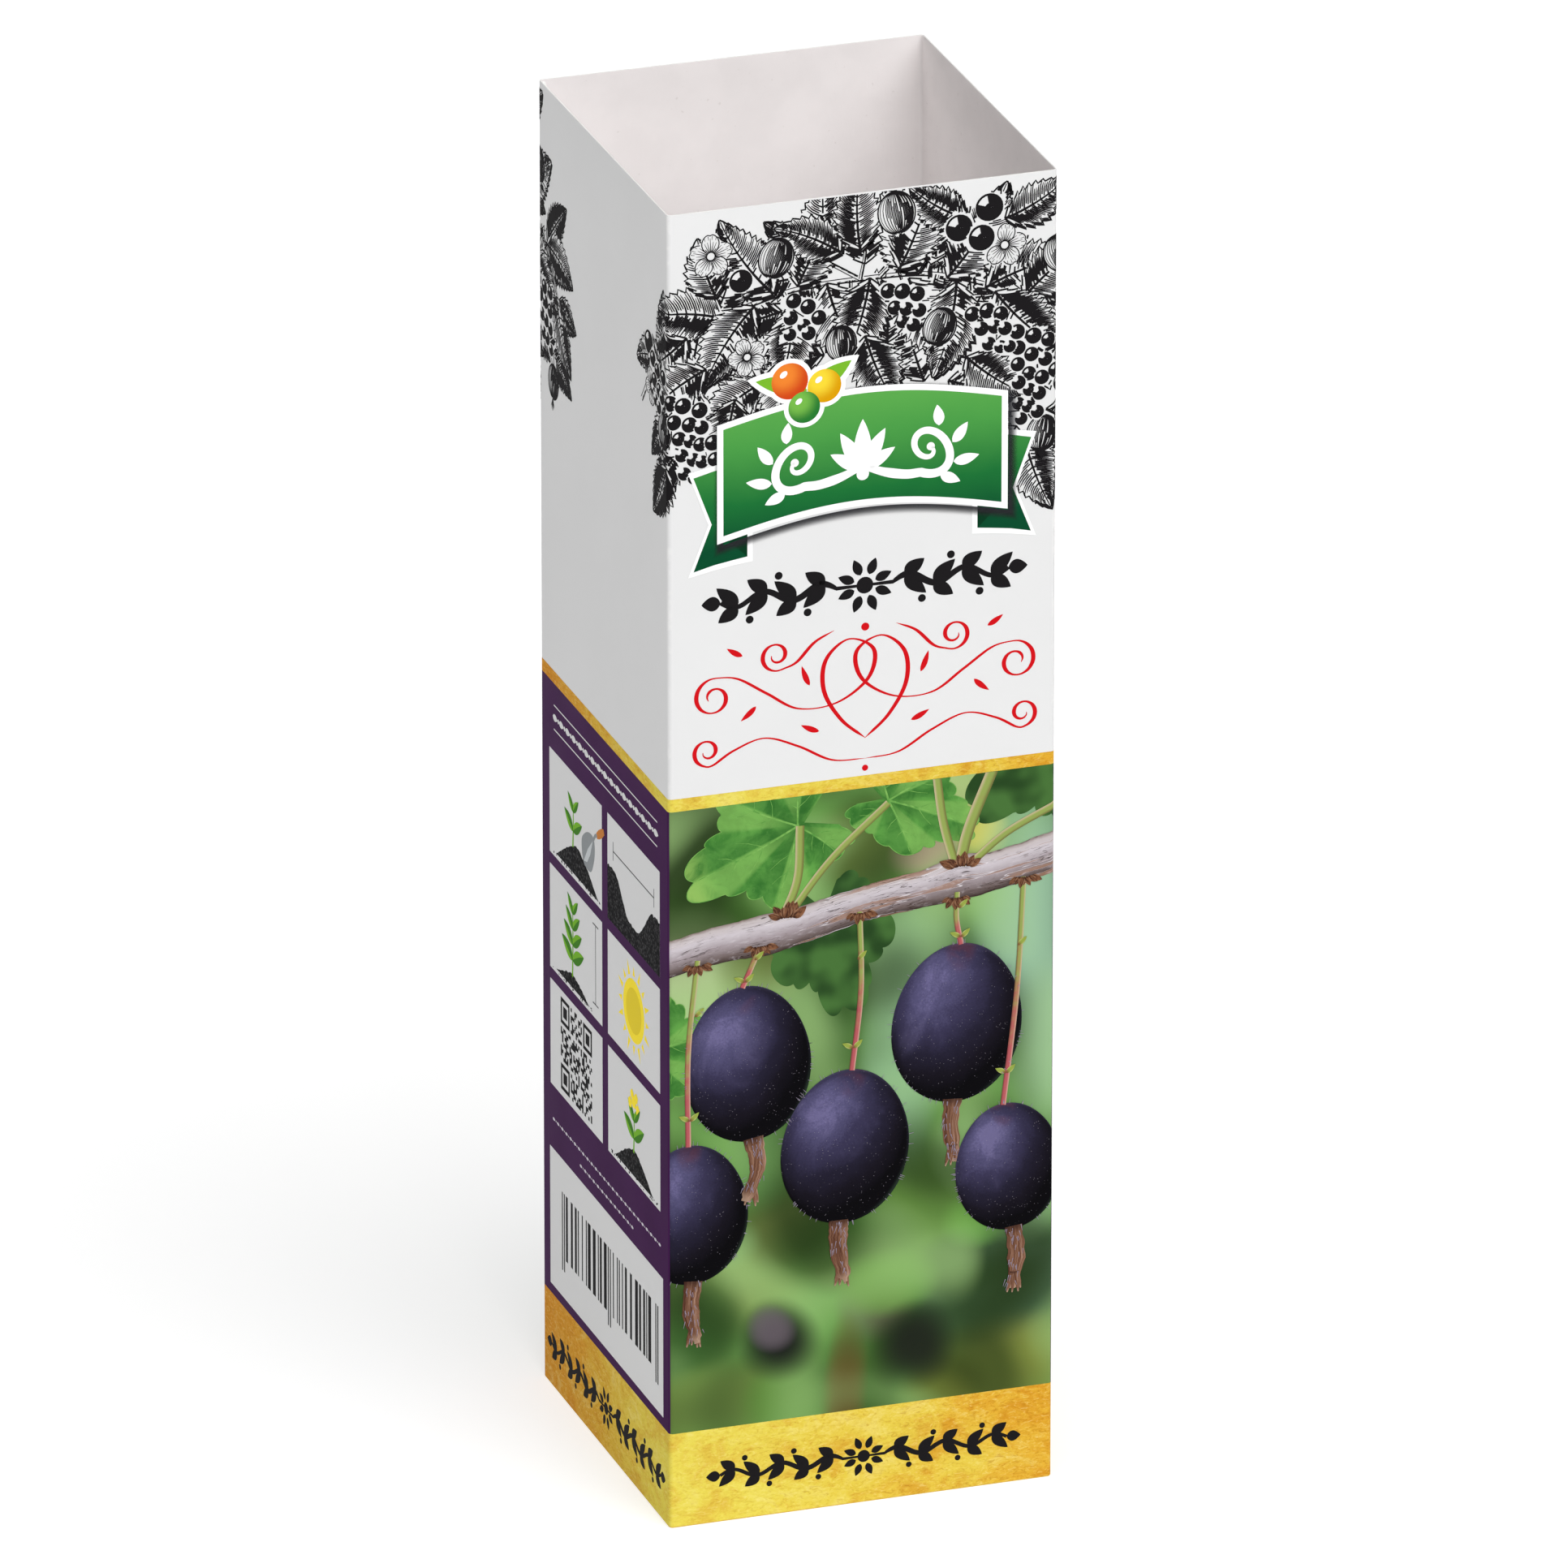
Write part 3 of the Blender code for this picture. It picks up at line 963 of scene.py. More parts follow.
left_box, right_box = BOX_COLUMNS
top_row, middle_row, bottom_row = BOX_ROWS
for wall, title in SIDE_WALLS:
    soil, light, dark, lines = Drawing(), Drawing(), Drawing(), Drawing()
    first, second = (wall + sum(column) / 2 for column in BOX_COLUMNS)

    # Sapling on a heap, with a trowel
    heap(soil, first + 1.0, top_row[0] + 1.0, 27.0, 6.4, 3)
    plant(light, dark, first - 1.5, top_row[0] + 6.6, 9.6, 2, 7.4)
    trowel, pale_steel, handle = Drawing(), Drawing(), Drawing()
    cos, sin = toward(-42)
    spin = np.array([(cos, sin), (-sin, cos)])
    centre = np.array([first + 11.6, top_row[0] + 13.4])
    trowel.area((smooth_line(TROWEL_BLADE, 0.8, True) * 0.92) @ spin + centre)
    pale_steel.area(TROWEL_SHINE @ spin + centre)
    trowel.stroke(TROWEL_NECK @ spin + centre, 0.8)
    handle.stroke(TROWEL_HANDLE @ spin + centre, (1.2, 1.9, 1.8, 1.2))
    trowel.print(f"trowel_{title}", 4, steel_ink)
    pale_steel.print(f"trowel_shine_{title}", 5, pale_steel_ink)
    handle.print(f"trowel_handle_{title}", 4, handle_ink)

    # Planting pit with its width
    low_s, high_s = wall + right_box[0], wall + right_box[1]
    toss = np.random.default_rng(8)
    x = np.linspace(0, 1, 45)
    pit = np.clip(1.25 - np.abs(x - 0.5) * 3.4, 0, 1)
    ground = top_row[0] + 11.6 - 7.4 * pit * pit * (3 - 2 * pit) + toss.uniform(-0.3, 0.3, 45)
    surface = zip(low_s + x[::-1] * (high_s - low_s), ground[::-1])
    soil.area([(low_s, top_row[0]), (high_s, top_row[0]), *surface])
    width_z = top_row[0] + 15.6
    ends = (low_s + 3.6, high_s - 3.6)
    lines.box(ends[0], width_z - RULE_HALF, ends[1], width_z + RULE_HALF)
    for at in ends:
        lines.box(at - RULE_HALF, width_z - 2.0, at + RULE_HALF, width_z + 2.0)

    # Tall plant with its height
    heap(soil, first - 2.0, middle_row[0] + 0.9, 21.0, 2.8, 5)
    plant(light, dark, first - 2.0, middle_row[0] + 3.3, 15.6, 4, 8.2)
    height_s = wall + left_box[1] - 4.2
    ends = (middle_row[0] + 3.0, middle_row[1] - 2.4)
    lines.box(height_s - RULE_HALF, ends[0], height_s + RULE_HALF, ends[1])
    for z in ends:
        lines.box(height_s - 1.8, z - RULE_HALF, height_s + 1.8, z + RULE_HALF)

    # The sun
    sun, sun_middle = Drawing(), Drawing()
    centre = (second, sum(middle_row) / 2)
    sun.area(round_shape(*centre, 13.4, count=40))
    sun_middle.area(round_shape(*centre, 9.6, count=36))
    for ray in range(SUN_RAYS):
        angle = math.radians(ray * 360 / SUN_RAYS)
        reach = RAY_TO[ray % 2]
        sun.area([
            (centre[0] + math.cos(turn) * away, centre[1] + math.sin(turn) * away)
            for turn, away in ((angle - RAY_HALF, RAY_FROM), (angle, reach), (angle + RAY_HALF, RAY_FROM))
        ])
    sun.print(f"sun_{title}", 3, sun_ink)
    sun_middle.print(f"sun_middle_{title}", 4, sun_middle_ink)

    # Patch of square dots
    patch = Drawing()
    toss = np.random.default_rng(19)
    dots = toss.random((CELLS, CELLS)) < 0.48
    for row, column in ((0, 0), (0, CELLS - MARK), (CELLS - MARK, 0)):
        for inset, dark_ring in ((-1, False), (0, True), (1, False), (2, True)):
            rows = slice(max(row + inset, 0), row + MARK - inset)
            columns = slice(max(column + inset, 0), column + MARK - inset)
            dots[rows, columns] = dark_ring
    pitch = PATCH_SIDE / CELLS
    corner_s, corner_z = first - PATCH_SIDE / 2, sum(bottom_row) / 2 + PATCH_SIDE / 2
    for row in range(CELLS):
        column = 0
        while column < CELLS:
            run = column
            while run < CELLS and dots[row, run]:
                run += 1
            if run > column:
                z = corner_z - row * pitch
                patch.box(corner_s + column * pitch, z - pitch, corner_s + run * pitch, z)
            column = max(run, column + 1)
    patch.print(f"dot_patch_{title}", 3, black_ink)

    # Plant in flower
    heap(soil, second, bottom_row[0] + 1.0, 24.0, 5.6, 11)
    plant(light, dark, second, bottom_row[0] + 6.0, 8.6, 2, 8.4)
    flower = Drawing()
    for s, z, size in FLOWER_HEADS:
        for petal in range(5):
            centre = (second + s, bottom_row[0] + z) + toward(90 + petal * 72) * size * 0.27
            flower.area(round_shape(*centre, size * 0.52, count=10))
    flower.print(f"flower_heads_{title}", 5, sun_ink)

    soil.print(f"soil_{title}", 3, soil_ink)
    light.print(f"plant_light_{title}", 4, leaf_ink)
    dark.print(f"plant_dark_{title}", 5, dark_leaf_ink)
    lines.print(f"size_lines_{title}", 3, grey_ink)


# Picture ground
# The front and the back carry one printed picture between the gold bands. Its ground is foliage
# far out of focus: soft patches of light and dark green with two dim berries low in the middle.

PICTURE = (LOWER_BAND[1], UPPER_BAND[0])
SOFT_PATCHES = (
    ((3, 149), (24, 15), (50, 66, 38), 0.95), ((24, 151), (12, 8), (98, 150, 72), 0.70),
    ((40, 143), (11, 9), (92, 110, 56), 0.80), ((60, 148), (12, 10), (178, 200, 130), 0.90),
    ((66, 141), (6, 5), (212, 208, 104), 0.85), ((53, 139), (7, 5), (186, 160, 140), 0.70),
    ((79, 121), (14, 26), (160, 198, 170), 0.85), ((49, 116), (12, 15), (150, 190, 134), 0.90),
    ((32, 112), (10, 20), (50, 78, 40), 0.85), ((3, 113), (15, 18), (178, 198, 144), 0.90),
    ((21, 117), (9, 7), (112, 120, 66), 0.70), ((49, 96), (8, 24), (148, 190, 142), 0.90),
    ((54, 63), (17, 12), (96, 132, 62), 0.85), ((79, 94), (9, 16), (160, 198, 150), 0.90),
    ((70, 44), (18, 14), (92, 120, 96), 0.85), ((62, 50), (12, 7), (42, 62, 34), 0.85),
    ((14, 50), (15, 10), (142, 168, 98), 0.80), ((24, 62), (9, 8), (110, 120, 66), 0.75),
    ((20, 80), (6, 11), (108, 150, 88), 0.75), ((4, 40), (10, 9), (66, 98, 50), 0.80),
    ((38, 54), (9, 6), (138, 164, 98), 0.75), ((43, 43), (7, 7), (112, 102, 90), 0.55),
    ((62, 75), (6, 8), (150, 190, 122), 0.70), ((76, 61), (7, 8), (142, 180, 130), 0.70),
    ((66, 60), (8, 6), (118, 176, 82), 0.60), ((12, 60), (7, 6), (134, 176, 114), 0.55),
    ((37, 25), (4, 15), (106, 80, 44), 0.75), ((9, 25), (18, 8), (118, 142, 72), 0.80),
    ((70, 26), (18, 9), (130, 134, 60), 0.80), ((58, 23), (9, 6), (96, 102, 42), 0.70),
    ((35, 57), (15, 9), (46, 78, 34), 0.80), ((68, 41), (15, 9), (40, 62, 28), 0.85),
    ((7, 44), (9, 10), (50, 88, 40), 0.70), ((46, 48), (9, 7), (108, 168, 62), 0.60),
    ((25, 24), (8, 7), (92, 140, 62), 0.70),
)
DIM_BERRIES = (
    ((23, 37), (7.4, 7.8), (26, 24, 28), 0.98), ((21.6, 39.6), (4.4, 4.6), (112, 102, 110), 0.70),
    ((51, 33), (8.4, 8.8), (32, 34, 30), 0.95),
)

picture_ground, wires, shader = new_ink("picture_ground")
sheet = attribute(wires, "sheet")
s, z, _ = sheet.parts()
sway = wires.noise(sheet, 0.035, 0.0) - 0.5
elsewhere = wires.node("VectorMath", {"operation": "ADD"}, {0: sheet, 1: (37.0, 11.0, 5.0)})
swell = wires.noise(elsewhere, 0.035, 0.0) - 0.5
x = (s / SIDE).math("FRACT") * SIDE + sway * 7.0
z = z + swell * 7.0
soft_green = wires.mix(wires.noise(sheet, 0.06, 0.0).ramp(0.28, 0.72), seen(62, 96, 42), seen(112, 160, 84))


def soft_spots(ground, spots):
    """The ground with soft round spots of colour, one after another."""
    for (middle_s, middle_z), (wide, high), colour, share in spots:
        off_s, off_z = (x - middle_s) / wide, (z - middle_z) / high
        near = (off_s * off_s + off_z * off_z).ramp(1.70, 0.0)
        ground = wires.mix(near * share, ground, seen(*colour))
    return ground


soft_green = soft_spots(soft_green, SOFT_PATCHES)
haze = wires.noise(sheet, 0.05, 0.0)
soft_green = wires.mix(haze.ramp(0.46, 0.80) * 0.55, soft_green, seen(166, 206, 132))
soft_green = wires.mix(haze.ramp(0.58, 0.22) * 0.75, soft_green, seen(36, 54, 24))
feed(shader, "Base Color", soft_spots(soft_green, DIM_BERRIES))


def picture_edges(wall):
    """The left, lower, right and upper edge of the picture on a wall."""
    return wall, PICTURE[0], wall + SIDE, PICTURE[1]


for wall, title in PICTURE_WALLS:
    drawing = Drawing()
    drawing.box(*picture_edges(wall))
    drawing.print(f"picture_ground_{title}", 1, picture_ground)


# Picture leaves
# Lobed leaves with scalloped edges hang in at the top and from the left. Each is creased along the
# midrib of every lobe, so that one side of it is lighter, and has fine veins and a light rim.

LOBE_SPREAD = math.radians(57)

leaf_print, wires, shader = new_ink("leaf_print")
sheet = attribute(wires, "sheet")
u, v, _ = attribute(wires, "shape").parts()
patch = wires.noise(sheet, 0.20, 4.0, 0.6, 0.6)
crinkle = wires.noise(sheet, 1.1, 5.0, 0.65, 0.8)
green = wires.mix(patch.ramp(0.30, 0.68), seen(60, 122, 50), seen(98, 162, 74))
reach = (u * u + v * v).math("SQRT")
crease = (v.math("ARCTAN2", u) / LOBE_SPREAD + 0.5).math("FRACT") - 0.5
lit_side = crease.ramp(-0.03, 0.03) * crease.ramp(0.50, 0.38)
green = wires.mix(lit_side * reach.ramp(0.0, 0.3) * 0.50, green, seen(140, 192, 98))
green = wires.mix(crease.ramp(0.0, -0.04) * crease.ramp(-0.5, -0.30) * 0.30, green, seen(40, 92, 40))
green = wires.mix(reach.ramp(0.45, 0.0) * 0.40, green, seen(40, 88, 36))
green = wires.mix(crinkle.ramp(0.56, 0.80) * 0.16, green, seen(150, 196, 124))
green = wires.mix(crinkle.ramp(0.44, 0.24) * 0.16, green, seen(34, 84, 36))
rim_light = reach.ramp(0.74, 1.02)
feed(shader, "Base Color", wires.mix(rim_light * patch.ramp(0.35, 0.6) * 0.55, green, seen(164, 200, 104)))

shade_leaf_print, wires, shader = new_ink("shade_leaf_print")
cloud = wires.noise(attribute(wires, "sheet"), 0.14, 1.0)
feed(shader, "Base Color", wires.mix(cloud.ramp(0.35, 0.65), seen(42, 72, 36), seen(74, 116, 58)))

vein_print, wires, shader = new_ink("vein_print")
cloud = wires.noise(attribute(wires, "sheet"), 0.6, 2.0)
feed(shader, "Base Color", wires.mix(cloud.ramp(0.3, 0.7), seen(92, 154, 70), seen(134, 188, 96)))


def turned(points, s, z, reach, angle, squash):
    """Points round a leaf's stalk end, scaled, narrowed and turned into place."""
    return placed(points[:, 0] * reach, points[:, 1] * reach * squash, s, z, angle)


LOBES = ((0, 1.0), (58, 0.84), (-58, 0.84), (112, 0.60), (-112, 0.60))


def lobed_leaf(leaf, veins, s, z, reach, angle, squash, seed):
    """A lobed leaf that grows from its stalk end, and its veins."""
    theta = np.radians(np.linspace(-146, 146, 221))
    reach_at = np.full(len(theta), 0.34)
    for lobe, long in LOBES:
        off = np.abs(np.degrees(theta) - lobe)
        reach_at = np.maximum(reach_at, long * (1 - 0.30 * (off / 31) ** 2.6))
    wobble = 1 + 0.03 * np.sin(theta * 5.3 + seed * 9) + 0.02 * np.sin(theta * 11.7 + seed * 5)
    scallop = 0.90 + 0.12 * np.abs(np.sin(theta * 7.4 + 0.5 * np.sin(theta * 3 + seed))) ** 0.7
    reach_at = reach_at * wobble * scallop
    rim = np.stack([np.cos(theta), np.sin(theta)], 1) * reach_at[:, None]
    rim = np.vstack([rim, [(-0.06, 0.0)]])
    outline = turned(rim, s, z, reach, angle, squash)
    leaf.area(outline, local=[(x, y, seed) for x, y in rim])
    veins.stroke(outline[:-1], 0.16)
    for lobe, long in LOBES:
        bow = math.radians(lobe)
        tip = toward(lobe) * long * 0.93
        side = np.array([-tip[1], tip[0]])
        line = smooth_line([(0, 0), tip * 0.5 + side * 0.03, tip], 0.04)
        veins.stroke(turned(line, s, z, reach, angle, squash), np.linspace(0.42, 0.10, len(line)))
        for share in (0.34, 0.60):
            for hand in (-1, 1):
                start = tip * share + side * 0.03 * math.sin(share * math.pi)
                lean = bow + hand * math.radians(44)
                length = long * 0.34 * (1.15 - share)
                end = start + np.array([math.cos(lean), math.sin(lean)]) * length
                middle = (start + end) / 2 + side * hand * 0.02
                line = turned(np.array([start, middle, end]), s, z, reach, angle, squash)
                veins.stroke(line, (0.15, 0.10, 0.05))


SHADE_LEAVES = ((33, 128, 22, -78, 0.8, 0.7), (84, 160, 24, 214, 0.9, 0.2))
NEAR_LEAVES = ((27, 148, 25, 203, 0.78, 0.1), (46, 151, 21, -24, 0.62, 0.5), (-5, 103, 17, 12, 0.85, 0.9))

for wall, title in PICTURE_WALLS:
    window = picture_edges(wall)
    shade, spare = Drawing(), Drawing()
    for s, *values in SHADE_LEAVES:
        lobed_leaf(shade, spare, wall + s, *values)
    spare.mesh.free()
    shade.print(f"picture_shade_leaves_{title}", 2, shade_leaf_print, window)

    leaves, veins = Drawing(), Drawing()
    for s, *values in NEAR_LEAVES:
        lobed_leaf(leaves, veins, wall + s, *values)
    leaves.print(f"picture_leaves_{title}", 3, leaf_print, window)
    veins.print(f"picture_leaf_veins_{title}", 4, vein_print, window)


# Picture branch and berries
# A bare grey-brown branch crosses the picture. Dark blue-violet berries with a dull bloom hang
# from it on thin reddish stalks, each with a dry brown tail left by its flower.

bark_print, wires, shader = new_ink("bark_print")
sheet = attribute(wires, "sheet")
along, across, seed = attribute(wires, "shape").parts()
grain_place = wires.vector(along * 0.16, across * 2.1, seed)
grain = wires.noise(grain_place, 2.2, 5.0, 0.65, 0.7)
bark = wires.node("ValToRGB", {"stops": (
    (0.0, seen(64, 52, 48)), (0.14, seen(112, 98, 96)), (0.40, seen(164, 152, 156)),
    (0.70, seen(208, 200, 206)), (0.90, seen(200, 190, 190)), (1.0, seen(140, 124, 116)),
)}, {0: across * 0.5 + 0.5 + (grain - 0.5) * 0.14})
torn = wires.noise(wires.vector(along * 0.018, across * 1.0, seed + 9.0), 2.6, 2.0, 0.5, 0.3)
bark = wires.mix(torn.ramp(0.57, 0.62) * 0.70, bark, seen(164, 126, 104))
bark = wires.mix((torn - 0.575).math("ABSOLUTE").ramp(0.010, 0.0) * 0.8, bark, seen(232, 226, 230))
bark = wires.mix(grain.ramp(0.54, 0.72) * 0.28, bark, seen(224, 216, 222))
bark = wires.mix(grain.ramp(0.44, 0.30) * 0.34, bark, seen(104, 86, 78))
crack = wires.noise(wires.vector(along * 0.028, across * 1.5, seed + 4.0), 3.0, 3.0, 0.6, 0.5)
crack = (crack - 0.5).math("ABSOLUTE").ramp(0.020, 0.004)
deep = wires.noise(wires.vector(along * 0.09, across, seed + 2.0), 1.0, 1.0).ramp(0.46, 0.56)
feed(shader, "Base Color", wires.mix(crack * deep * 0.85, bark, seen(52, 38, 32)))

berry_print, wires, shader = new_ink("berry_print")
sheet = attribute(wires, "sheet")
u, v, seed = attribute(wires, "shape").parts()
facing = (1.0 - u * u - v * v).math("MAXIMUM", 0.0).math("SQRT")
lit = facing * 0.74 + v * 0.52 - u * 0.36
dull = wires.noise(wires.vector(u + seed * 3.0, v, facing), 1.6, 4.0, 0.6, 0.5)
fine = wires.noise(sheet, 2.2, 3.0, 0.7)
skin = wires.node("ValToRGB", {"stops": (
    (0.0, seen(14, 13, 16)), (0.30, seen(26, 23, 32)), (0.55, seen(38, 35, 52)),
    (0.78, seen(60, 56, 84)), (0.93, seen(86, 82, 118)), (1.0, seen(112, 106, 148)),
)}, {0: lit + (dull - 0.5) * 0.34 + (fine - 0.5) * 0.16})
skin = wires.mix(dull.ramp(0.52, 0.74) * lit.ramp(0.3, 0.9) * 0.26, skin, seen(98, 92, 122))
rosy = (u * u * 2.0 + (v - 0.98) * (v - 0.98)).ramp(0.16, 0.0)
skin = wires.mix(rosy * dull.ramp(0.35, 0.6) * 0.55, skin, seen(92, 50, 56))
speck = wires.node("TexVoronoi", None, {"Vector": sheet, "Scale": 1.7}).ramp(0.17, 0.08)
some = wires.noise(sheet, 0.5, 2.0).ramp(0.44, 0.58)
skin = wires.mix(speck * some * 0.50, skin, seen(166, 160, 170))
edge = facing.ramp(0.34, 0.05)
skin = wires.mix(edge * v.ramp(-0.3, 0.6) * 0.40, skin, seen(88, 86, 110))
underneath = edge * u.ramp(0.2, 0.9) * v.ramp(0.2, -0.6)
feed(shader, "Base Color", wires.mix(underneath * 0.5, skin, seen(52, 66, 56)))

stalk_print, wires, shader = new_ink("stalk_print")
sheet = attribute(wires, "sheet")
along, across, _ = attribute(wires, "shape").parts()
blush = wires.noise(sheet, 0.35, 3.0) - 0.5 + along
stalk = wires.mix(blush.ramp(0.15, 0.80), seen(150, 168, 88), seen(184, 92, 96))
stalk = wires.mix(across.ramp(0.2, 1.0) * 0.6, stalk, seen(222, 190, 170))
feed(shader, "Base Color", wires.mix(across.ramp(-0.2, -1.0) * 0.6, stalk, seen(92, 50, 46)))

bud_print, wires, shader = new_ink("bud_print")
along, across, _ = attribute(wires, "shape").parts()
bract = wires.mix(along.ramp(0.05, 0.45), seen(128, 84, 60), seen(150, 166, 74))
rims = across.math("ABSOLUTE").ramp(0.4, 1.0)
feed(shader, "Base Color", wires.mix(rims * 0.6, bract, seen(206, 208, 138)))

scale_print, wires, shader = new_ink("scale_print")
along, across, seed = attribute(wires, "shape").parts()
husk = wires.noise(wires.vector(along, across, seed), 2.4, 3.0, 0.6)
husk = wires.mix(husk.ramp(0.35, 0.65), seen(70, 44, 34), seen(136, 92, 66))
husk = wires.mix(along.ramp(0.35, 0.0) * 0.7, husk, seen(44, 28, 24))
rims = across.math("ABSOLUTE").ramp(0.5, 1.0)
feed(shader, "Base Color", wires.mix(rims * 0.55, husk, seen(176, 138, 108)))

tail_print, wires, shader = new_ink("tail_print")
along, across, seed = attribute(wires, "shape").parts()
strands = wires.noise(wires.vector(along * 0.7, across * 1.9, seed), 1.6, 5.0, 0.75, 0.6)
tail = wires.node("ValToRGB", {"stops": (
    (0.0, seen(44, 26, 22)), (0.36, seen(84, 52, 40)), (0.54, seen(130, 92, 72)),
    (0.76, seen(188, 154, 134)),
)}, {0: strands + across * 0.08})
tail = wires.mix(along.ramp(0.16, 0.0) * 0.7, tail, seen(52, 34, 30))
feed(shader, "Base Color", wires.mix(along.ramp(0.80, 1.0) * 0.45, tail, seen(204, 176, 152)))

hair_print = plain_ink("hair_print", seen(150, 140, 158))

BRANCH = (
    (-2, 122.5, 8.0), (9, 124.6, 7.6), (20, 125.6, 8.8), (27, 126.6, 8.0), (41, 129.6, 7.4),
    (54, 131.2, 8.0), (61, 132.6, 9.6), (68, 133.0, 8.2), (83, 136.0, 8.6),
)
BERRIES = (
    (16.5, 98.5, 26.5, 33.5, 4, (19.0, 123.0), 1), (60.5, 101.5, 27.5, 34.0, -3, (60.5, 129.5), 2),
    (4.5, 67.5, 24.0, 30.0, 2, (6.0, 122.0), 3), (37.0, 78.0, 27.0, 33.0, -5, (40.0, 128.0), 4),
    (71.5, 69.0, 22.5, 27.5, 5, (74.5, 131.0), 5),
)


def ribbon_shape(drawing, line, widths, seed, unit=None):
    """A stroke whose shape gives how far along it a point lies, and on which side."""
    line = np.asarray(line, float)
    length = np.concatenate([[0], np.cumsum(np.linalg.norm(np.diff(line, axis=0), axis=1))])
    length = length / (unit or length[-1])
    sides = [[(at, hand, seed) for at in length] for hand in (1.0, -1.0)]
    drawing.stroke(line, widths, local=sides)


def husk_shape(drawing, s, z, length, width, angle, seed=0.0):
    """A small pointed scale whose shape gives how far along it a point lies, and on which side."""
    flat = leaf_shape(0, 0, 1.0, 2.0, 0.0, 0.0, 9)
    drawing.area(leaf_shape(s, z, length, width, angle, 0.1, 9), local=[(x, y, seed) for x, y in flat])


BEHIND = 3
NODES = (
    (61.5, 134.8, 90), (24.6, 128.6, 90), (19.0, 123.4, -90), (60.4, 128.4, -90), (6.0, 121.0, -90),
    (74.6, 131.0, -90), (40.0, 127.8, -90),
)
GREEN_LENGTH = 400.0
LEAF_STALKS = (
    (((61, 135), (63, 143), (68, 155)), 2.4), (((60, 135.5), (57.5, 145), (56, 156)), 1.8),
    (((63, 135), (71, 141), (82, 146)), 1.6), (((24, 129), (27, 137), (27.5, 148)), 1.8),
    (((25, 129), (34, 140), (46, 150.5)), 1.5),
)

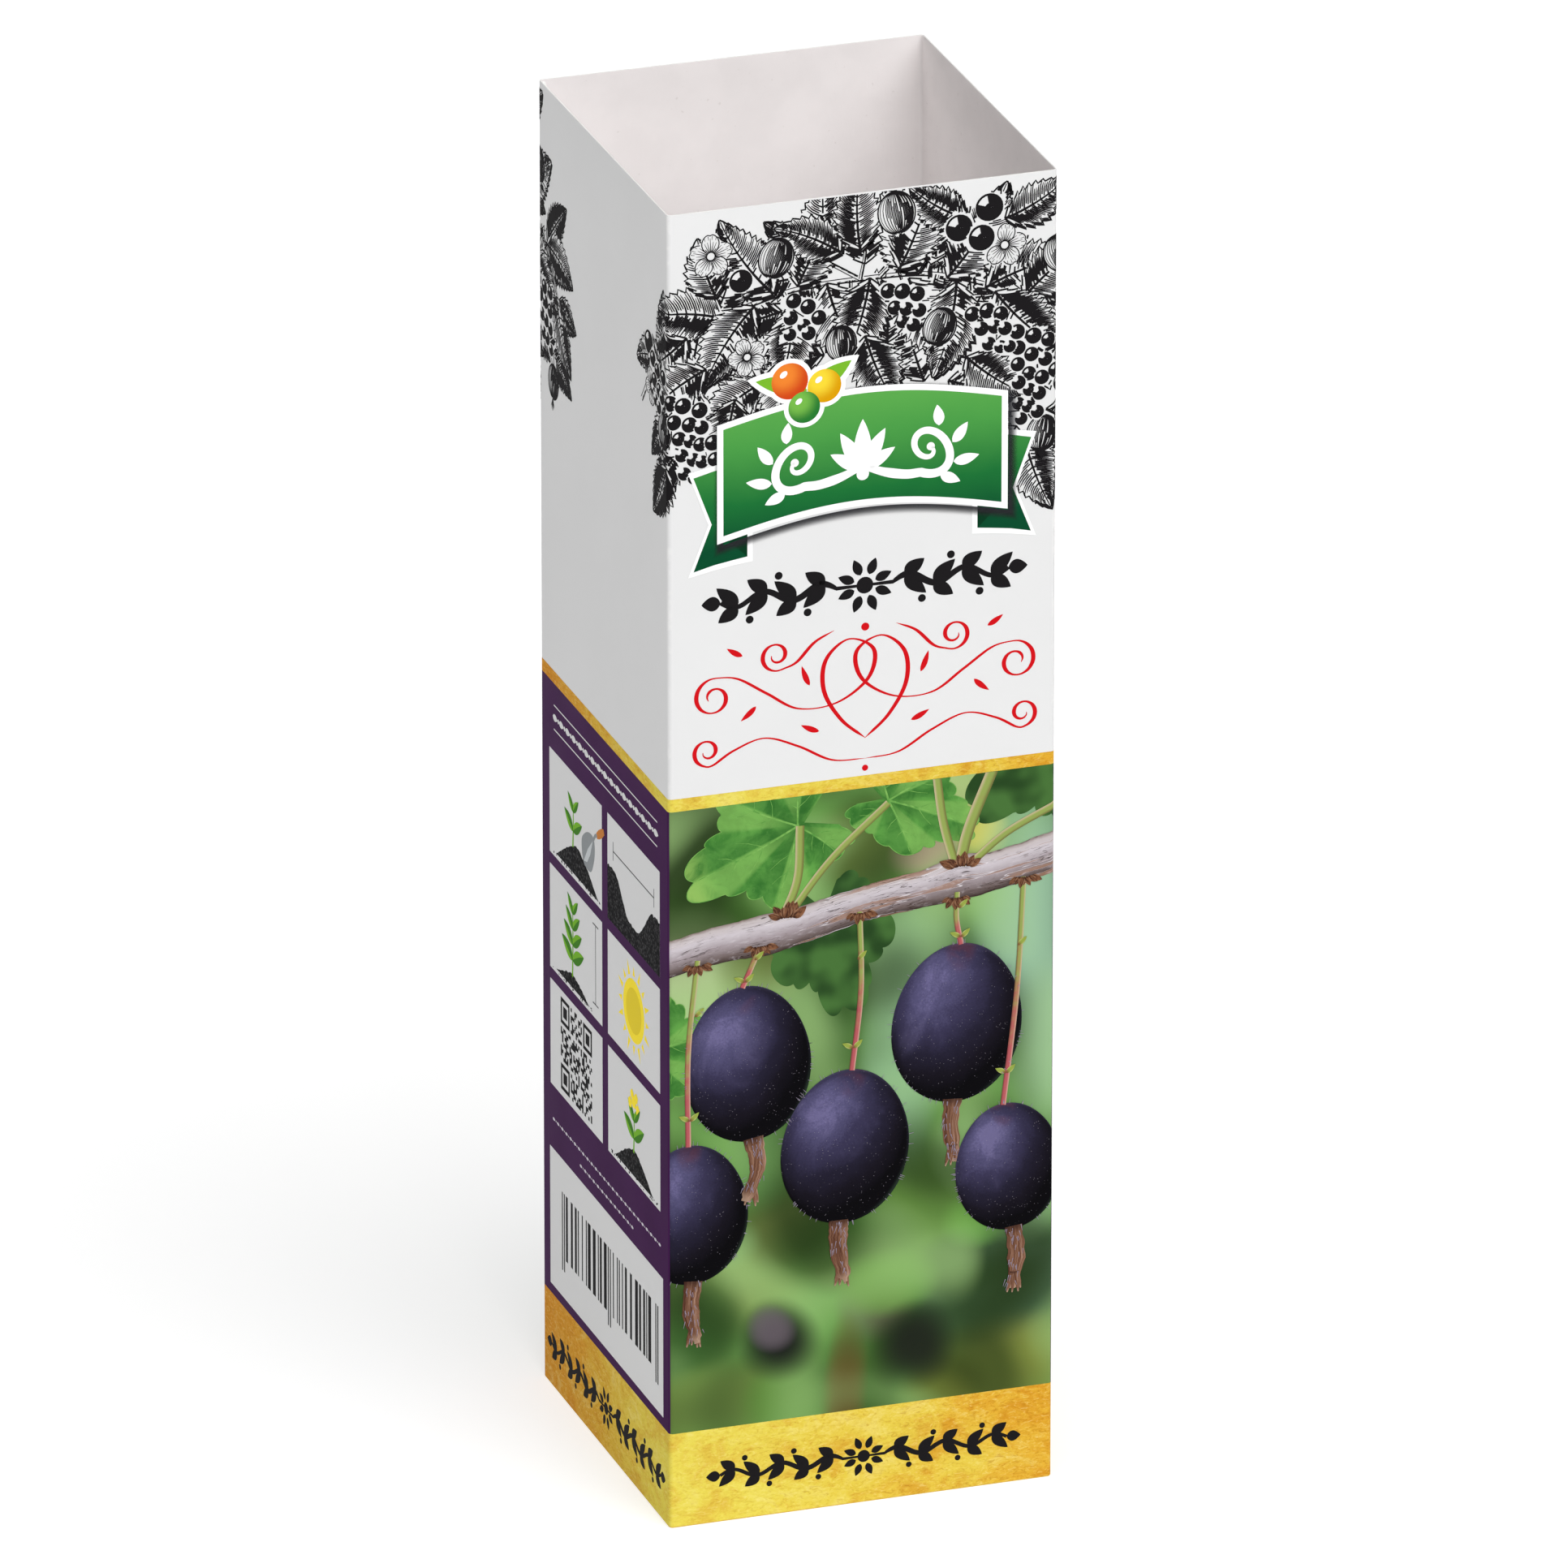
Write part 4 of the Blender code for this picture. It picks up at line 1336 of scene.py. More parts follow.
for wall, title in PICTURE_WALLS:
    window = picture_edges(wall)
    branch = Drawing()
    spine = smooth_line([(wall + s, z) for s, z, _ in BRANCH], 0.9)
    branch_s, _, branch_thick = zip(*BRANCH)
    thick = np.interp(spine[:, 0] - wall, branch_s, branch_thick)
    rough = np.random.default_rng(5)
    thick = thick + np.convolve(rough.uniform(-0.5, 0.5, len(thick) + 2), np.ones(3) / 3, "valid")
    ribbon_shape(branch, spine, thick, 0.0, 1.0)
    branch.print(f"picture_branch_{title}", 5, bark_print, window)

    back_berries, front_berries, back_tails, front_tails = Drawing(), Drawing(), Drawing(), Drawing()
    back_stalks, front_stalks, buds, scales, hairs = (Drawing() for _ in range(5))
    for index, (s, z, wide, high, lean, root, seed) in enumerate(BERRIES):
        toss = np.random.default_rng(seed)
        turn = np.linspace(0, 2 * math.pi, 72, endpoint=False)
        egg = np.stack([np.cos(turn) * (1 - 0.05 * np.sin(turn)), np.sin(turn)], 1)
        cos, sin = toward(lean)
        spin = np.array([(cos, sin), (-sin, cos)])
        outline = (egg * (wide / 2, high / 2)) @ spin + (wall + s, z)
        if index < BEHIND:
            berries, stalks, tails = back_berries, back_stalks, back_tails
        else:
            berries, stalks, tails = front_berries, front_stalks, front_tails
        berries.area(outline, local=[(x, y, seed) for x, y in egg])
        top = np.array([0, high / 2 - 0.3]) @ spin + (wall + s, z)
        low = np.array([0, -high / 2 + 0.6]) @ spin + (wall + s, z)
        start = np.array([wall + root[0], root[1]])
        middle = (start + top) / 2 + (toss.uniform(-1.2, 1.2), 0)
        ribbon_shape(stalks, smooth_line([start, middle, top], 0.9), 1.15, seed)
        for share, side in ((0.86, 1), (0.86, -1), (0.3, 1)):
            at = start * (1 - share) + top * share
            husk_shape(buds, *at, 2.6, 1.1, 90 - side * 55)
        halfway, end = low + (toss.uniform(-1, 1), -6.5), low + (toss.uniform(-2.2, 1.6), -13.5)
        tail_line = smooth_line([low, halfway, end], 0.7)
        share = np.linspace(0, 1, len(tail_line))
        ragged = np.convolve(toss.uniform(-1.0, 1.0, len(tail_line) + 2), np.ones(3) / 3, "valid")
        tail_width = 4.2 - 1.9 * share - 1.2 * (share > 0.95) + ragged
        for lean in (-15, 13, -5, 7):
            tip = np.array([math.sin(math.radians(lean)), -math.cos(math.radians(lean))])
            root_at = tail_line[-6] + (tip[0] * 1.8, 0)
            strand = [root_at, root_at + tip * 2.4, root_at + tip * toss.uniform(3.6, 4.6)]
            ribbon_shape(tails, strand, (1.1, 0.9, 0.25), seed + lean)
        ribbon_shape(tails, tail_line, tail_width, seed)
        for _ in range(26):
            at = tail_line[toss.integers(1, len(tail_line) - 1)] + toss.uniform(-1.6, 1.6, 2)
            hairs.stroke([at, at + (toss.uniform(-0.6, 0.6), -toss.uniform(0.8, 1.6))], (0.16, 0.05))
        for angle in toss.uniform(0, 2 * math.pi, 46):
            ray = np.array([math.cos(angle), math.sin(angle)])
            rim_point = (ray * (wide / 2, high / 2) * 0.995) @ spin + (wall + s, z)
            hairs.stroke([rim_point, rim_point + ray * toss.uniform(0.5, 1.1)], (0.12, 0.05))
    for s, z, up in NODES:
        toss = np.random.default_rng(round(s * 10))
        for lean in (-62, 64, -36, 40, -14, 16, 2):
            base = (wall + s + lean * 0.022, z)
            size = toss.uniform(2.4, 3.8) * (1.0 if up > 0 else 0.72)
            angle = up - lean * math.copysign(1, up) + toss.uniform(-12, 12)
            husk_shape(scales, *base, size, size * 0.55, angle, float(lean))
    for controls, width in LEAF_STALKS:
        line = smooth_line([(wall + s, z) for s, z in controls], 1.0)
        ribbon_shape(back_stalks, line, width, 9.0, GREEN_LENGTH)
    for drawing, part, level, finish in (
        (back_stalks, "back_stalks", 6, stalk_print), (back_tails, "back_tails", 6, tail_print),
        (back_berries, "back_berries", 5, berry_print), (front_berries, "front_berries", 7, berry_print),
        (front_stalks, "front_stalks", 8, stalk_print), (front_tails, "front_tails", 8, tail_print),
        (scales, "bud_scales", 8.55, scale_print), (buds, "bracts", 9.1, bud_print),
        (hairs, "hairs", 9.65, hair_print),
    ):
        drawing.print(f"picture_{part}_{title}", level, finish, window)


# Engraved garland
# A garland of leaves, berries and blossoms arches over the emblem in fine black lines, like an
# old wood engraving. It runs up to the rim and laps round both corners of its wall.

SHORTEST = 0.7


def within(points, outline):
    """Which points lie inside an outline."""
    x, z = points[:, :1], points[:, 1:]
    ax, az = outline[:, 0], outline[:, 1]
    bx, bz = np.roll(ax, -1), np.roll(az, -1)
    spans = (az > z) != (bz > z)
    rise = np.where(bz == az, 1.0, bz - az)
    return ((spans & (x < ax + (z - az) * (bx - ax) / rise)).sum(1) % 2) == 1


class Engraving:
    """Things laid one over another, each an outline that hides what is behind, and its lines."""

    def __init__(self):
        self.things = []

    def add(self, outline, lines):
        self.things.append((np.asarray(outline, float), lines))

    def cut_into(self, drawing, wall):
        """Draws every line where no later thing covers it."""
        for index, (_, lines) in enumerate(self.things):
            covers = [outline for outline, _ in self.things[index + 1 :]]
            boxes = [(outline.min(0), outline.max(0)) for outline in covers]
            for line, width in lines:
                line = np.asarray(line, float)
                width = np.broadcast_to(np.asarray(width, float), len(line))
                shown = np.ones(len(line), bool)
                low, high = line.min(0), line.max(0)
                for outline, (box_low, box_high) in zip(covers, boxes):
                    if (low < box_high).all() and (high > box_low).all():
                        shown &= ~within(line, outline)
                start = None
                for at, visible in enumerate([*shown, False]):
                    if visible and start is None:
                        start = at
                    elif not visible and start is not None:
                        run = line[start:at]
                        if at - start > 1 and np.linalg.norm(run[0] - run[-1]) > SHORTEST or at - start > 8:
                            drawing.stroke(run + (wall, 0), width[start:at])
                        start = None


class Leaf:
    """A toothed leaf: a bent midrib, side veins that curve to the edge, and hatching between them."""

    def __init__(self, s, z, angle, length, width, bend, tone, deep, seed):
        toss = np.random.default_rng(seed)
        t = np.linspace(0, 1, 41)
        heading = math.radians(angle) + bend * (t - 0.3)
        steps = np.stack([np.cos(heading), np.sin(heading)], 1) * length / 40
        self.spine = np.vstack([[(s, z)], (s, z) + np.cumsum(steps[:-1], 0)])
        self.aside = np.stack([-np.sin(heading), np.cos(heading)], 1)
        self.half = width / 2 * np.sin(math.pi * t**0.82) ** 0.9
        self.t = t
        teeth = max(6, round(length / 1.5))
        edges = []
        for hand in (1, -1):
            rim = []
            for tooth in range(teeth):
                rim.append(self.at((tooth + 0.02) / teeth, hand * 0.90))
                rim.append(self.at((tooth + 0.55) / teeth, hand * 1.00))
                rim.append(self.at((tooth + 0.98) / teeth, hand * 1.12))
            edges.append(np.array([self.at(0, 0), *rim[1:-1], self.at(1, 0)]))
        outline = np.vstack([edges[0], edges[1][-2:0:-1]])
        lines = [(edge, 0.36) for edge in edges]
        lines.append((self.spine[::3], np.linspace(0.62, 0.22, len(self.spine[::3]))))
        veins = max(5, round(length / 2.2))
        for hand in (1, -1):
            dark = min(1.0, (tone if hand > 0 else 1 - tone) + deep)
            for vein in range(veins):
                base = 0.04 + 0.84 * vein / veins
                lines.append((self.side_line(base, hand, 0.0, 0.97, 5), (0.36, 0.32, 0.28, 0.24, 0.18)))
                hatches = 2 + round(2.6 * dark)
                for hatch in range(hatches):
                    off = base + 0.84 / veins * (hatch + 1) / (hatches + 1)
                    start = toss.uniform(0.06, 0.16) if hatch % 2 else toss.uniform(0.10, 0.3)
                    end = min(0.95, start + toss.uniform(0.3, 0.55) + dark * 0.42)
                    thick = 0.15 + 0.22 * dark
                    line = self.side_line(off, hand, start, end, 3)
                    lines.append((line, (thick, thick * 1.1, thick * 0.5)))
        self.outline, self.lines = outline, lines
        self.shade = np.vstack([outline, outline[:1]]) + (0.34, -0.40)

    def at(self, t, v):
        t = min(max(t, 0.0), 1.0)
        x = np.interp(t, self.t, self.spine[:, 0])
        z = np.interp(t, self.t, self.spine[:, 1])
        off = v * np.interp(t, self.t, self.half)
        return np.array([
            x + off * np.interp(t, self.t, self.aside[:, 0]),
            z + off * np.interp(t, self.t, self.aside[:, 1]),
        ])

    def side_line(self, base, hand, start, end, count):
        return [self.at(base + 0.15 * v**1.3, hand * v) for v in np.linspace(start, end, count)]


def ring(s, z, width, height, angle, start, end, count):
    """Part of an ellipse between two angles, in degrees."""
    turn = np.radians(np.linspace(start, end, count))
    return placed(np.cos(turn) * width / 2, np.sin(turn) * height / 2, s, z, angle)


def add_dark_berry(art, s, z, size):
    """A round berry, black but for a highlight."""
    rings = max(3, round(size / 0.85))
    step = size / 2 / rings
    lines = []
    for place in range(rings):
        wide = 2 * step * (place + 0.5)
        share = wide / size
        arc = (-198, 100, 17) if 0.34 < share < 0.84 else (0, 360, 21)
        lines.append((ring(s, z, wide, wide, 0, *arc), step * 1.1))
    art.add(round_shape(s, z, size * 1.1), lines)


def add_globe(art, s, z, size, angle, seed):
    """A striped round fruit with meridians from stalk to tail, hatched on its shaded side."""
    toss = np.random.default_rng(seed)
    wide = size * 0.86
    lines = [(ring(s, z, size, wide, angle, 0, 360, 33), 0.30)]
    for slope in np.linspace(-0.88, 0.88, 12):
        shade = (1 - slope) / 2
        arc = ring(s, z, size * 0.98, wide * slope, angle, 4, 176, 13)
        lines.append((arc, 0.12 + 0.26 * shade))
        if slope < 0.5:
            start = toss.uniform(20, 90)
            end = start + toss.uniform(50, 80)
            arc = ring(s, z, size * 0.96, wide * (slope + 0.08), angle, start, end, 6)
            lines.append((arc, 0.12 + 0.14 * shade))
    art.add(round_shape(s, z, size, wide, angle, 32), lines)
    low = ring(s, z, size, wide, angle, 180, 181, 2)[0]
    tuft = []
    for lean in (-26, -12, 0, 13, 27):
        tip = low + toward(angle + 180 + lean) * size * toss.uniform(0.26, 0.36)
        tuft.append(([low, (low + tip) / 2, tip], (0.34, 0.28, 0.1)))
    art.add(round_shape(*low, 0.1, count=6), tuft)


def add_blossom(art, s, z, size, angle):
    """A five-petalled blossom with hatched petals and a ring of stamens."""
    middle = np.array([s, z])
    for petal in (0, 2, 4, 1, 3):
        way = angle + petal * 72
        outline = round_shape(*(middle + toward(way) * size * 0.29), size * 0.44, size * 0.40, way, 22)
        outline[0] -= toward(way) * size * 0.03
        lines = [(np.vstack([outline, outline[:1]]), 0.22)]
        for lean in (-24, -12, 0, 12, 24):
            ray = toward(way + lean)
            start, end = size * 0.10, size * (0.34 if lean else 0.42)
            hatch = [middle + ray * start, middle + ray * (start + end) / 2, middle + ray * end]
            lines.append((hatch, (0.2, 0.15, 0.08)))
        for lean in (-18, -6, 6, 18):
            ray = toward(way + lean)
            lines.append(([middle + ray * size * 0.47, middle + ray * size * 0.38], (0.14, 0.08)))
        art.add(outline, lines)
    lines = [(ring(s, z, size * 0.2, size * 0.2, 0, 0, 360, 13), 0.24)]
    for stamen in range(10):
        ray = toward(angle + stamen * 36)
        lines.append(([middle + ray * size * 0.1, middle + ray * size * 0.21], 0.16))
        lines.append(([middle + ray * size * 0.20, middle + ray * size * 0.24], 0.42))
    art.add(round_shape(s, z, size * 0.2, count=12), lines)


def add_stem(art, controls, width):
    """A woody stem: two edges with short shading strokes under the upper one."""
    line = smooth_line(controls, 0.8)
    along = np.gradient(line, axis=0)
    along /= np.linalg.norm(along, axis=1, keepdims=True)
    widths = np.linspace(width, width * 0.7, len(line))[:, None]
    aside = np.stack([-along[:, 1], along[:, 0]], 1) * widths / 2
    lines = [(line + aside, 0.18), (line - aside * 0.8, 0.34)]
    for at in range(1, len(line) - 2, 2):
        lines.append(([line[at] - aside[at] * 0.5, line[at + 1] - aside[at + 1] * 0.1], (0.20, 0.08)))
    art.add(np.vstack([line + aside, (line - aside)[::-1]]), lines)


STEMS = (
    (
        ((-16, 236), (-6, 248), (8, 256), (24, 261), (40, 262), (56, 261), (72, 255), (86, 246), (97, 232)),
        1.1,
    ),
    (((40, 262), (30, 268), (20, 271), (11, 271)), 0.7),
    (((44, 262), (52, 269), (62, 273), (72, 272)), 0.7),
    (((12, 257), (8, 247), (6, 238), (8, 228)), 0.7),
    (((70, 256), (76, 247), (77, 236), (74, 224)), 0.7),
    (((24, 261), (28, 253), (26, 246), (22, 240)), 0.7),
    (((56, 261), (54, 253), (58, 245), (63, 240)), 0.7), (((38, 262), (38, 252), (41, 245)), 0.6),
    (((40, 262), (41, 268), (40, 272)), 0.6),
)
LEAVES = (
    (12, 257, 168, 18.0, 10.1, 0.5, 0.7), (4, 254, 214, 18.0, 10.1, -0.4, 0.5),
    (-4, 248, 190, 15.6, 8.8, 0.4, 0.6), (86, 247, -8, 16.8, 9.4, -0.4, 0.4),
    (92, 238, -62, 16.8, 9.4, 0.4, 0.7), (94, 238, -20, 10.8, 6.3, 0.2, 0.5),
    (22, 261, 128, 20.4, 10.7, -0.4, 0.6), (31, 266, 84, 18.0, 10.1, 0.3, 0.4),
    (27, 262, 62, 14.4, 8.8, -0.3, 0.7), (52, 262, 110, 16.8, 10.1, -0.4, 0.3),
    (58, 260, 52, 22.8, 11.3, 0.4, 0.6), (66, 257, 18, 20.4, 10.7, -0.4, 0.5),
    (48, 263, 66, 19.2, 10.1, 0.3, 0.7), (74, 254, 40, 19.2, 10.1, -0.3, 0.7),
    (70, 271, 24, 15.6, 8.2, 0.4, 0.4), (18, 259, -128, 19.2, 10.7, 0.4, 0.6),
    (26, 258, -96, 16.8, 10.1, -0.4, 0.5), (33, 262, -70, 20.4, 11.3, 0.4, 0.7),
    (42, 262, -104, 19.2, 10.7, -0.3, 0.5), (50, 261, -66, 20.4, 11.3, 0.3, 0.3),
    (60, 259, -100, 20.4, 11.3, -0.4, 0.6), (68, 256, -48, 21.6, 11.3, 0.4, 0.7),
    (8, 247, -150, 16.8, 9.4, 0.4, 0.6), (7, 240, -60, 16.8, 9.4, -0.4, 0.6),
    (77, 243, -30, 18.0, 10.1, 0.4, 0.5), (76, 234, -118, 16.8, 9.4, -0.4, 0.7),
    (74, 226, -74, 18.0, 10.1, 0.3, 0.6), (20, 243, -150, 15.6, 8.8, 0.3, 0.6),
    (22, 246, -80, 14.4, 8.8, -0.3, 0.7), (62, 243, -40, 15.6, 9.4, 0.3, 0.6),
    (36, 268, 150, 15.6, 8.8, 0.4, 0.5), (62, 272, 150, 14.4, 8.2, -0.4, 0.5),
    (10, 262, 110, 13.2, 8.2, -0.3, 0.4), (40, 268, 94, 16.8, 9.4, -0.3, 0.6),
    (41, 250, -70, 16.8, 10.1, 0.3, 0.5), (14, 240, -100, 15.6, 9.4, 0.3, 0.5),
)
BLOSSOMS = ((9.0, 270.5, 9.0, 20), (-9.5, 241.0, 8.0, 50), (70.0, 265.5, 9.0, 10), (16.5, 248.5, 8.0, 40))
GLOBES = (
    (22.5, 268.5, 8.4, 74), (47.5, 275.0, 9.0, 100), (56.5, 250.0, 8.0, 70), (-2.5, 234.0, 7.6, 80),
    (81.5, 262.5, 7.8, 110), (36.0, 249.0, 7.4, 95), (90.0, 219.0, 7.4, 84), (78.0, 225.0, 7.6, 80),
)
CLUSTERS = (
    (3.5, 240.0, 14, 8, 21), (76.0, 246.0, 16, -4, 22), (49.0, 258.5, 8, 14, 23),
    (12.5, 230.0, 8, -10, 24), (84.5, 238.0, 12, 10, 25), (29.0, 257.5, 7, -16, 26),
    (66.5, 252.0, 9, 18, 27), (-6.0, 246.0, 8, 6, 28),
)
DARK_BERRIES = (
    (60.5, 270.2, 5.6), (66.8, 273.8, 5.8), (65.2, 267.6, 5.4), (-11.5, 249.5, 5.0), (15.2, 264.6, 4.8),
)

BACKGROUND_DEEP, LEAF_DEEP = 0.9, 0.12
GARLAND_LOW, GARLAND_LAP = 205.0, 40

garland = Engraving()
toss = np.random.default_rng(12)
for layer in range(2):
    for z in np.arange(228.0, 268.0, 9.5):
        for s in np.arange(-9.0 + 6 * layer, 92.0, 12.5):
            at = np.array([s, z]) + toss.uniform(-2.4, 2.4, 2)
            away = at - (SIDE / 2, 224.0)
            angle = math.degrees(math.atan2(away[1], away[0])) + toss.uniform(-80, 80)
            length, width = toss.uniform(13.0, 18.0), toss.uniform(7.5, 10.0)
            bend, tone = toss.uniform(-0.5, 0.5), toss.uniform(0.3, 0.7)
            behind_emblem = at[1] < 237 and abs(away[0]) < 29
            if at[1] > 267.5 - 0.008 * away[0] ** 2 or behind_emblem or abs(away[0]) > 46:
                continue
            seed = 300 + len(garland.things)
            leaf = Leaf(*at, angle, length, width, bend, tone, BACKGROUND_DEEP, seed)
            garland.add(leaf.outline, leaf.lines)
for controls, width in STEMS:
    add_stem(garland, controls, width)
for index, values in enumerate(LEAVES):
    leaf = Leaf(*values, LEAF_DEEP, 60 + index)
    garland.add(leaf.shade[:3], [(leaf.shade, 0.62)])
    garland.add(leaf.outline, leaf.lines)
for index, (s, z, size, angle) in enumerate(GLOBES):
    add_globe(garland, s, z, size, angle, 30 + index)
for values in BLOSSOMS:
    add_blossom(garland, *values)
for s, z, size in DARK_BERRIES:
    add_dark_berry(garland, s, z, size)
for s, z, count, lean, seed in CLUSTERS:
    toss = np.random.default_rng(seed)
    hang = np.array([math.sin(math.radians(lean)), -math.cos(math.radians(lean))])
    beside = np.array([-hang[1], hang[0]])
    top = np.array([s, z])
    add_stem(garland, (top - hang * 4, top + beside * 0.3, top + hang * 5), 0.4)
    for berry in range(count):
        share = berry / count
        spot = top + hang * (berry * 1.25 - 1.0) + beside * ((berry % 3) - 1) * 2.9 * (1.12 - 0.6 * share)
        spot = spot + toss.uniform(-0.45, 0.45, 2)
        add_dark_berry(garland, *spot, 3.3 - 0.7 * share + toss.uniform(-0.15, 0.15))

for wall, title in PICTURE_WALLS:
    drawing = Drawing()
    garland.cut_into(drawing, wall)
    window = (wall - GARLAND_LAP, GARLAND_LOW, wall + SIDE + GARLAND_LAP, HEIGHT - 0.25)
    drawing.print(f"garland_{title}", 2, black_ink, window)


# Emblem ribbon
# A green ribbon with swallow tails and a white edge lies across the lower part of the garland,
# over a soft grey shadow. It carries a white leaf scroll, and three small berries sit on its edge.

ribbon_green, wires, shader = new_ink("ribbon_green", 0.52)
sheet = attribute(wires, "sheet")
_, z, _ = sheet.parts()
soft = wires.noise(sheet, 0.12, 2.0) - 0.5
glow = wires.node("ValToRGB", {"stops": (
    (0.0, seen(14, 78, 48)), (0.30, seen(32, 116, 56)), (0.70, seen(78, 160, 74)),
    (1.0, seen(98, 176, 82)),
)}, {0: (z - 209.0) / 30.0 + soft * 0.10})
feed(shader, "Base Color", glow)

fold_green = plain_ink("fold_green", seen(12, 58, 34))
edge_white = plain_ink("edge_white", (0.90, 0.90, 0.90))

shadow_ink, wires, shader = new_ink("shadow_ink", 0.55)
feed(shader, "Base Color", (0.03, 0.03, 0.035))
depth, _, _ = attribute(wires, "shape").parts()
feed(shader, "Alpha", depth.ramp(0.0, 1.0, 0.62, 0.0))

RIBBON_EDGE = 1.3
RIBBON_HALF = 29.0
RIBBON_MIDDLE_Z = 222.4
RIBBON_BOW, RIBBON_DOWN, RIBBON_UP = 4.6, 11.4, 11.0


def middle_shape(grow):
    """The ribbon's middle, bowed upwards, with its outline moved out by grow."""
    across = np.linspace(-RIBBON_HALF - grow, RIBBON_HALF + grow, 49)
    bow = RIBBON_BOW * np.cos(across / 31.0 * math.pi / 2)
    low = RIBBON_MIDDLE_Z + bow - RIBBON_DOWN - grow
    high = RIBBON_MIDDLE_Z + bow + RIBBON_UP + grow
    return np.column_stack([np.concatenate([across, across[::-1]]), np.concatenate([low, high[::-1]])])


def tail_shape(side, grow):
    """One of the two tails, which come out from behind the middle a little lower."""
    ends = 35.2 + grow
    points = [
        (24.0 - grow, 206.6 - grow), (27.0, 206.2 - grow), (31.0, 205.6 - grow),
        (ends, 204.6 - grow), (31.4 + grow * 0.6, 214.2), (ends, 224.4 + grow),
        (31.0, 225.4 + grow), (24.0 - grow, 226.6 + grow),
    ]
    return np.array([(side * x, z) for x, z in points])


FAN_LEAVES = ((0, 10.6, 3.6), (30, 9.4, 3.2), (-30, 9.4, 3.2), (60, 7.8, 2.8), (-60, 7.8, 2.8))
SCROLL_LEAVES = ((-62, -34, 4.6), (-18, 2, 5.4), (24, 44, 5.0), (66, 88, 4.4))
SPIRAL_MIDDLE, SPIRAL_REACH, SPIRAL_END = (13.6, 0.2), 5.6, 0.7
SPIRAL_POINTS = 64


def scroll_line(side):
    """Half of the scroll: from the foot of the fan outwards, up and round into a spiral."""
    turn = np.radians(np.linspace(-105, 395, SPIRAL_POINTS))
    reach = np.linspace(SPIRAL_REACH, SPIRAL_END, SPIRAL_POINTS)
    spiral = np.stack([reach * np.cos(turn), reach * np.sin(turn)], 1) + SPIRAL_MIDDLE
    start = smooth_line([(1.0, -4.4), (5.0, -5.6), (9.0, -5.9), spiral[0]], 0.5)[:-1]
    return np.vstack([start, spiral]) * (side, 1)


for wall, title in PICTURE_WALLS:
    shift = np.array([wall + SIDE / 2, 0.0])
    shadow, tail_edges, tails, folds = Drawing(), Drawing(), Drawing(), Drawing()
    middle_edge, middle, scroll = Drawing(), Drawing(), Drawing()
    drop = np.array([0.7, -1.0])
    near, far = (middle_shape(RIBBON_EDGE + grow) + shift + drop for grow in (-0.6, 1.6))
    count = len(near)
    near = shadow.corners(near, [(0.0, 0, 0)] * count)
    far = shadow.corners(far, [(1.0, 0, 0)] * count)
    for index in range(count):
        after = (index + 1) % count
        shadow.mesh.faces.new((near[index], far[index], far[after], near[after]))
    shadow.print(f"ribbon_shadow_{title}", 5.3, shadow_ink)
    for side in (-1, 1):
        tail_edges.area(tail_shape(side, RIBBON_EDGE * 0.85) + shift)
        tails.area(tail_shape(side, 0.0) + shift)
        folds.area(np.array([(side * 30.2, 212.4), (side * 24.0, 206.6), (side * 24.0, 215.0)]) + shift)
    tail_edges.print(f"ribbon_tail_edges_{title}", 3, edge_white)
    tails.print(f"ribbon_tails_{title}", 4, ribbon_green)
    folds.print(f"ribbon_folds_{title}", 4.5, fold_green)
    middle_edge.area(middle_shape(RIBBON_EDGE) + shift)
    middle_edge.print(f"ribbon_edge_{title}", 6, edge_white)
    middle.area(middle_shape(0.0) + shift)
    middle.print(f"ribbon_middle_{title}", 7, ribbon_green)

    heart = shift + (0, RIBBON_MIDDLE_Z + 4.2)
    sag = (0, -0.0105)
    for lean, length, width in FAN_LEAVES:
        scroll.area(leaf_shape(*(heart + (0, -4.6)), length, width, 90 + lean, 0))
    scroll.area(round_shape(*(heart + (0, -5.6)), 2.6))
    for side in (-1, 1):
        line = scroll_line(side)
        line = line + np.outer(line[:, 0] ** 2, sag)
        share = np.linspace(0, 1, len(line))
        scroll.stroke(line + heart, 1.7 * (1 - share) ** 0.6 * np.minimum(1, 0.5 + share * 4) + 0.45)
        scroll.area(round_shape(*(line[-1] + heart), 1.7, count=18))
        for around, angle, size in SCROLL_LEAVES:
            base = (SPIRAL_MIDDLE + SPIRAL_REACH * toward(around)) * (side, 1)
            base = base + np.array(sag) * base[0] ** 2 + heart
            scroll.area(leaf_shape(*base, size, 2.3, flipped(angle, side), 0.12 * side))
    scroll.print(f"ribbon_scroll_{title}", 8, edge_white)


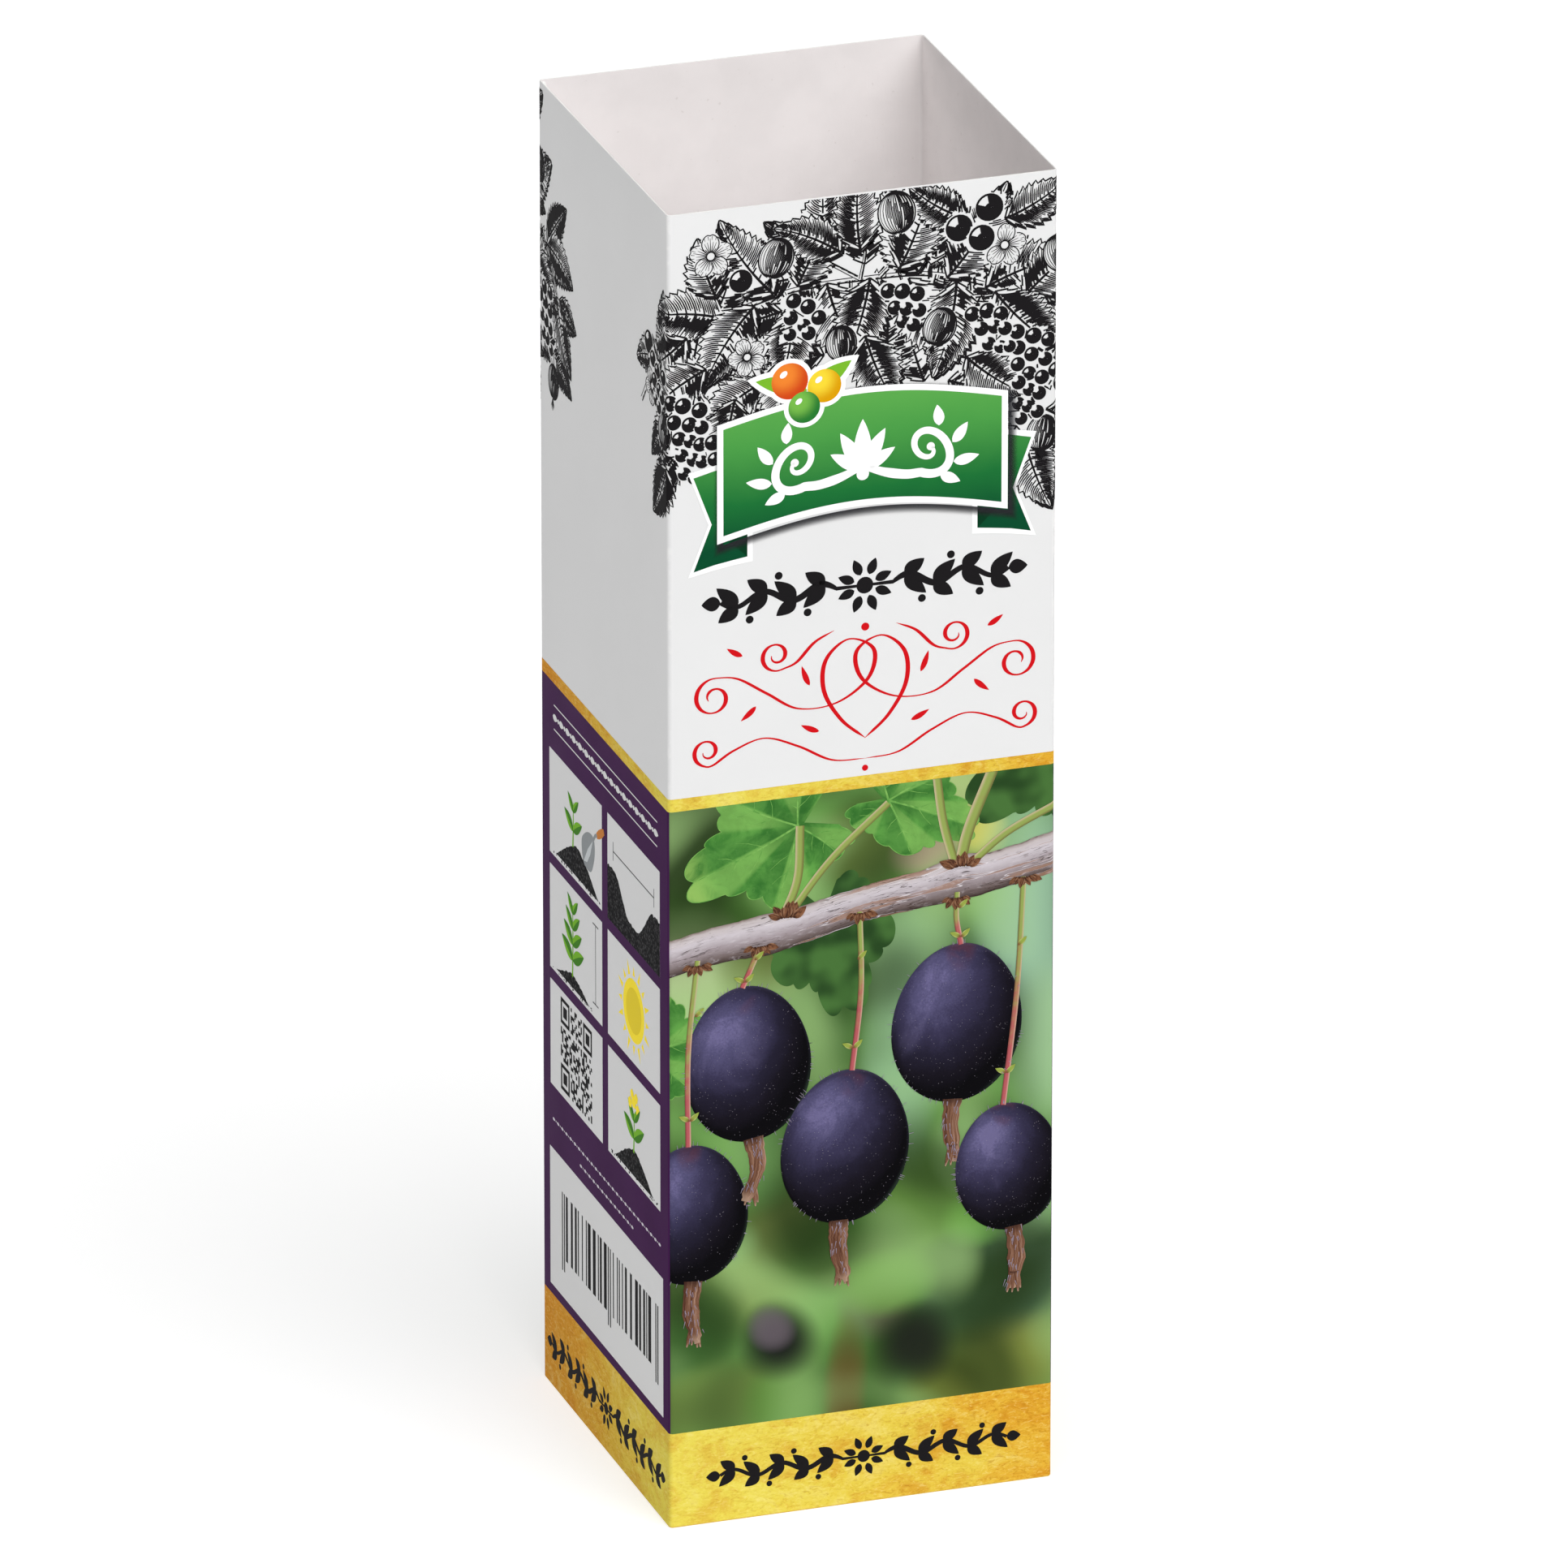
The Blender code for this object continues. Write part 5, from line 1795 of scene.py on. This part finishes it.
# Emblem berries
# Three round berries in orange, yellow and green with white rims, each shaded like a ball and
# with a small highlight, sit with two leaves on the upper edge of the ribbon.

EMBLEM_BERRIES = (
    ("orange", (214, 74, 28), (246, 138, 52), (-15.2, 242.4), 7.6, 9.0),
    ("yellow", (226, 164, 12), (252, 222, 60), (-8.0, 240.6), 7.0, 9.0),
    ("green", (44, 126, 52), (122, 190, 78), (-12.2, 236.6), 6.6, 9.6),
)
EMBLEM_LEAVES = ((158, 9.5), (24, 9.0))

berry_inks = []
for name, deep, bright, *_ in EMBLEM_BERRIES:
    ink, wires, shader = new_ink(f"{name}_berry_ink", 0.50)
    u, v, _ = attribute(wires, "shape").parts()
    low_right = ((u + 0.35) * (u + 0.35) + (v - 0.40) * (v - 0.40)).math("SQRT")
    feed(shader, "Base Color", wires.mix(low_right.ramp(0.35, 1.35), seen(*bright), seen(*deep)))
    berry_inks.append(ink)

for wall, title in PICTURE_WALLS:
    shift = np.array([wall + SIDE / 2, 0.0])
    rims, gleams, leaves = Drawing(), Drawing(), Drawing()
    for angle, size in EMBLEM_LEAVES:
        rims.area(leaf_shape(*(shift + (-11.6, 240.0)), size + 3.4, 6.0, angle, 0.1))
        leaves.area(leaf_shape(*(shift + (-11.6, 240.0)), size + 1.6, 3.9, angle, 0.1))
    for (name, _, _, spot, size, level), ink in zip(EMBLEM_BERRIES, berry_inks):
        rims.area(round_shape(*(shift + spot), size + 1.9, count=36))
        gleam = shift + (spot[0] - size * 0.17, spot[1] + size * 0.20)
        gleams.area(round_shape(*gleam, size * 0.24, size * 0.16, 40, 14))
        berry = Drawing()
        outline = round_shape(0, 0, 2.0, count=40)
        berry.area(outline * size / 2 + shift + spot, local=[(u, v, 0) for u, v in outline])
        berry.print(f"emblem_berry_{name}_{title}", level, ink)
    rims.print(f"emblem_rims_{title}", 8, edge_white)
    leaves.print(f"emblem_leaves_{title}", 8.7, leaf_ink)
    gleams.print(f"emblem_gleams_{title}", 10.2, edge_white)
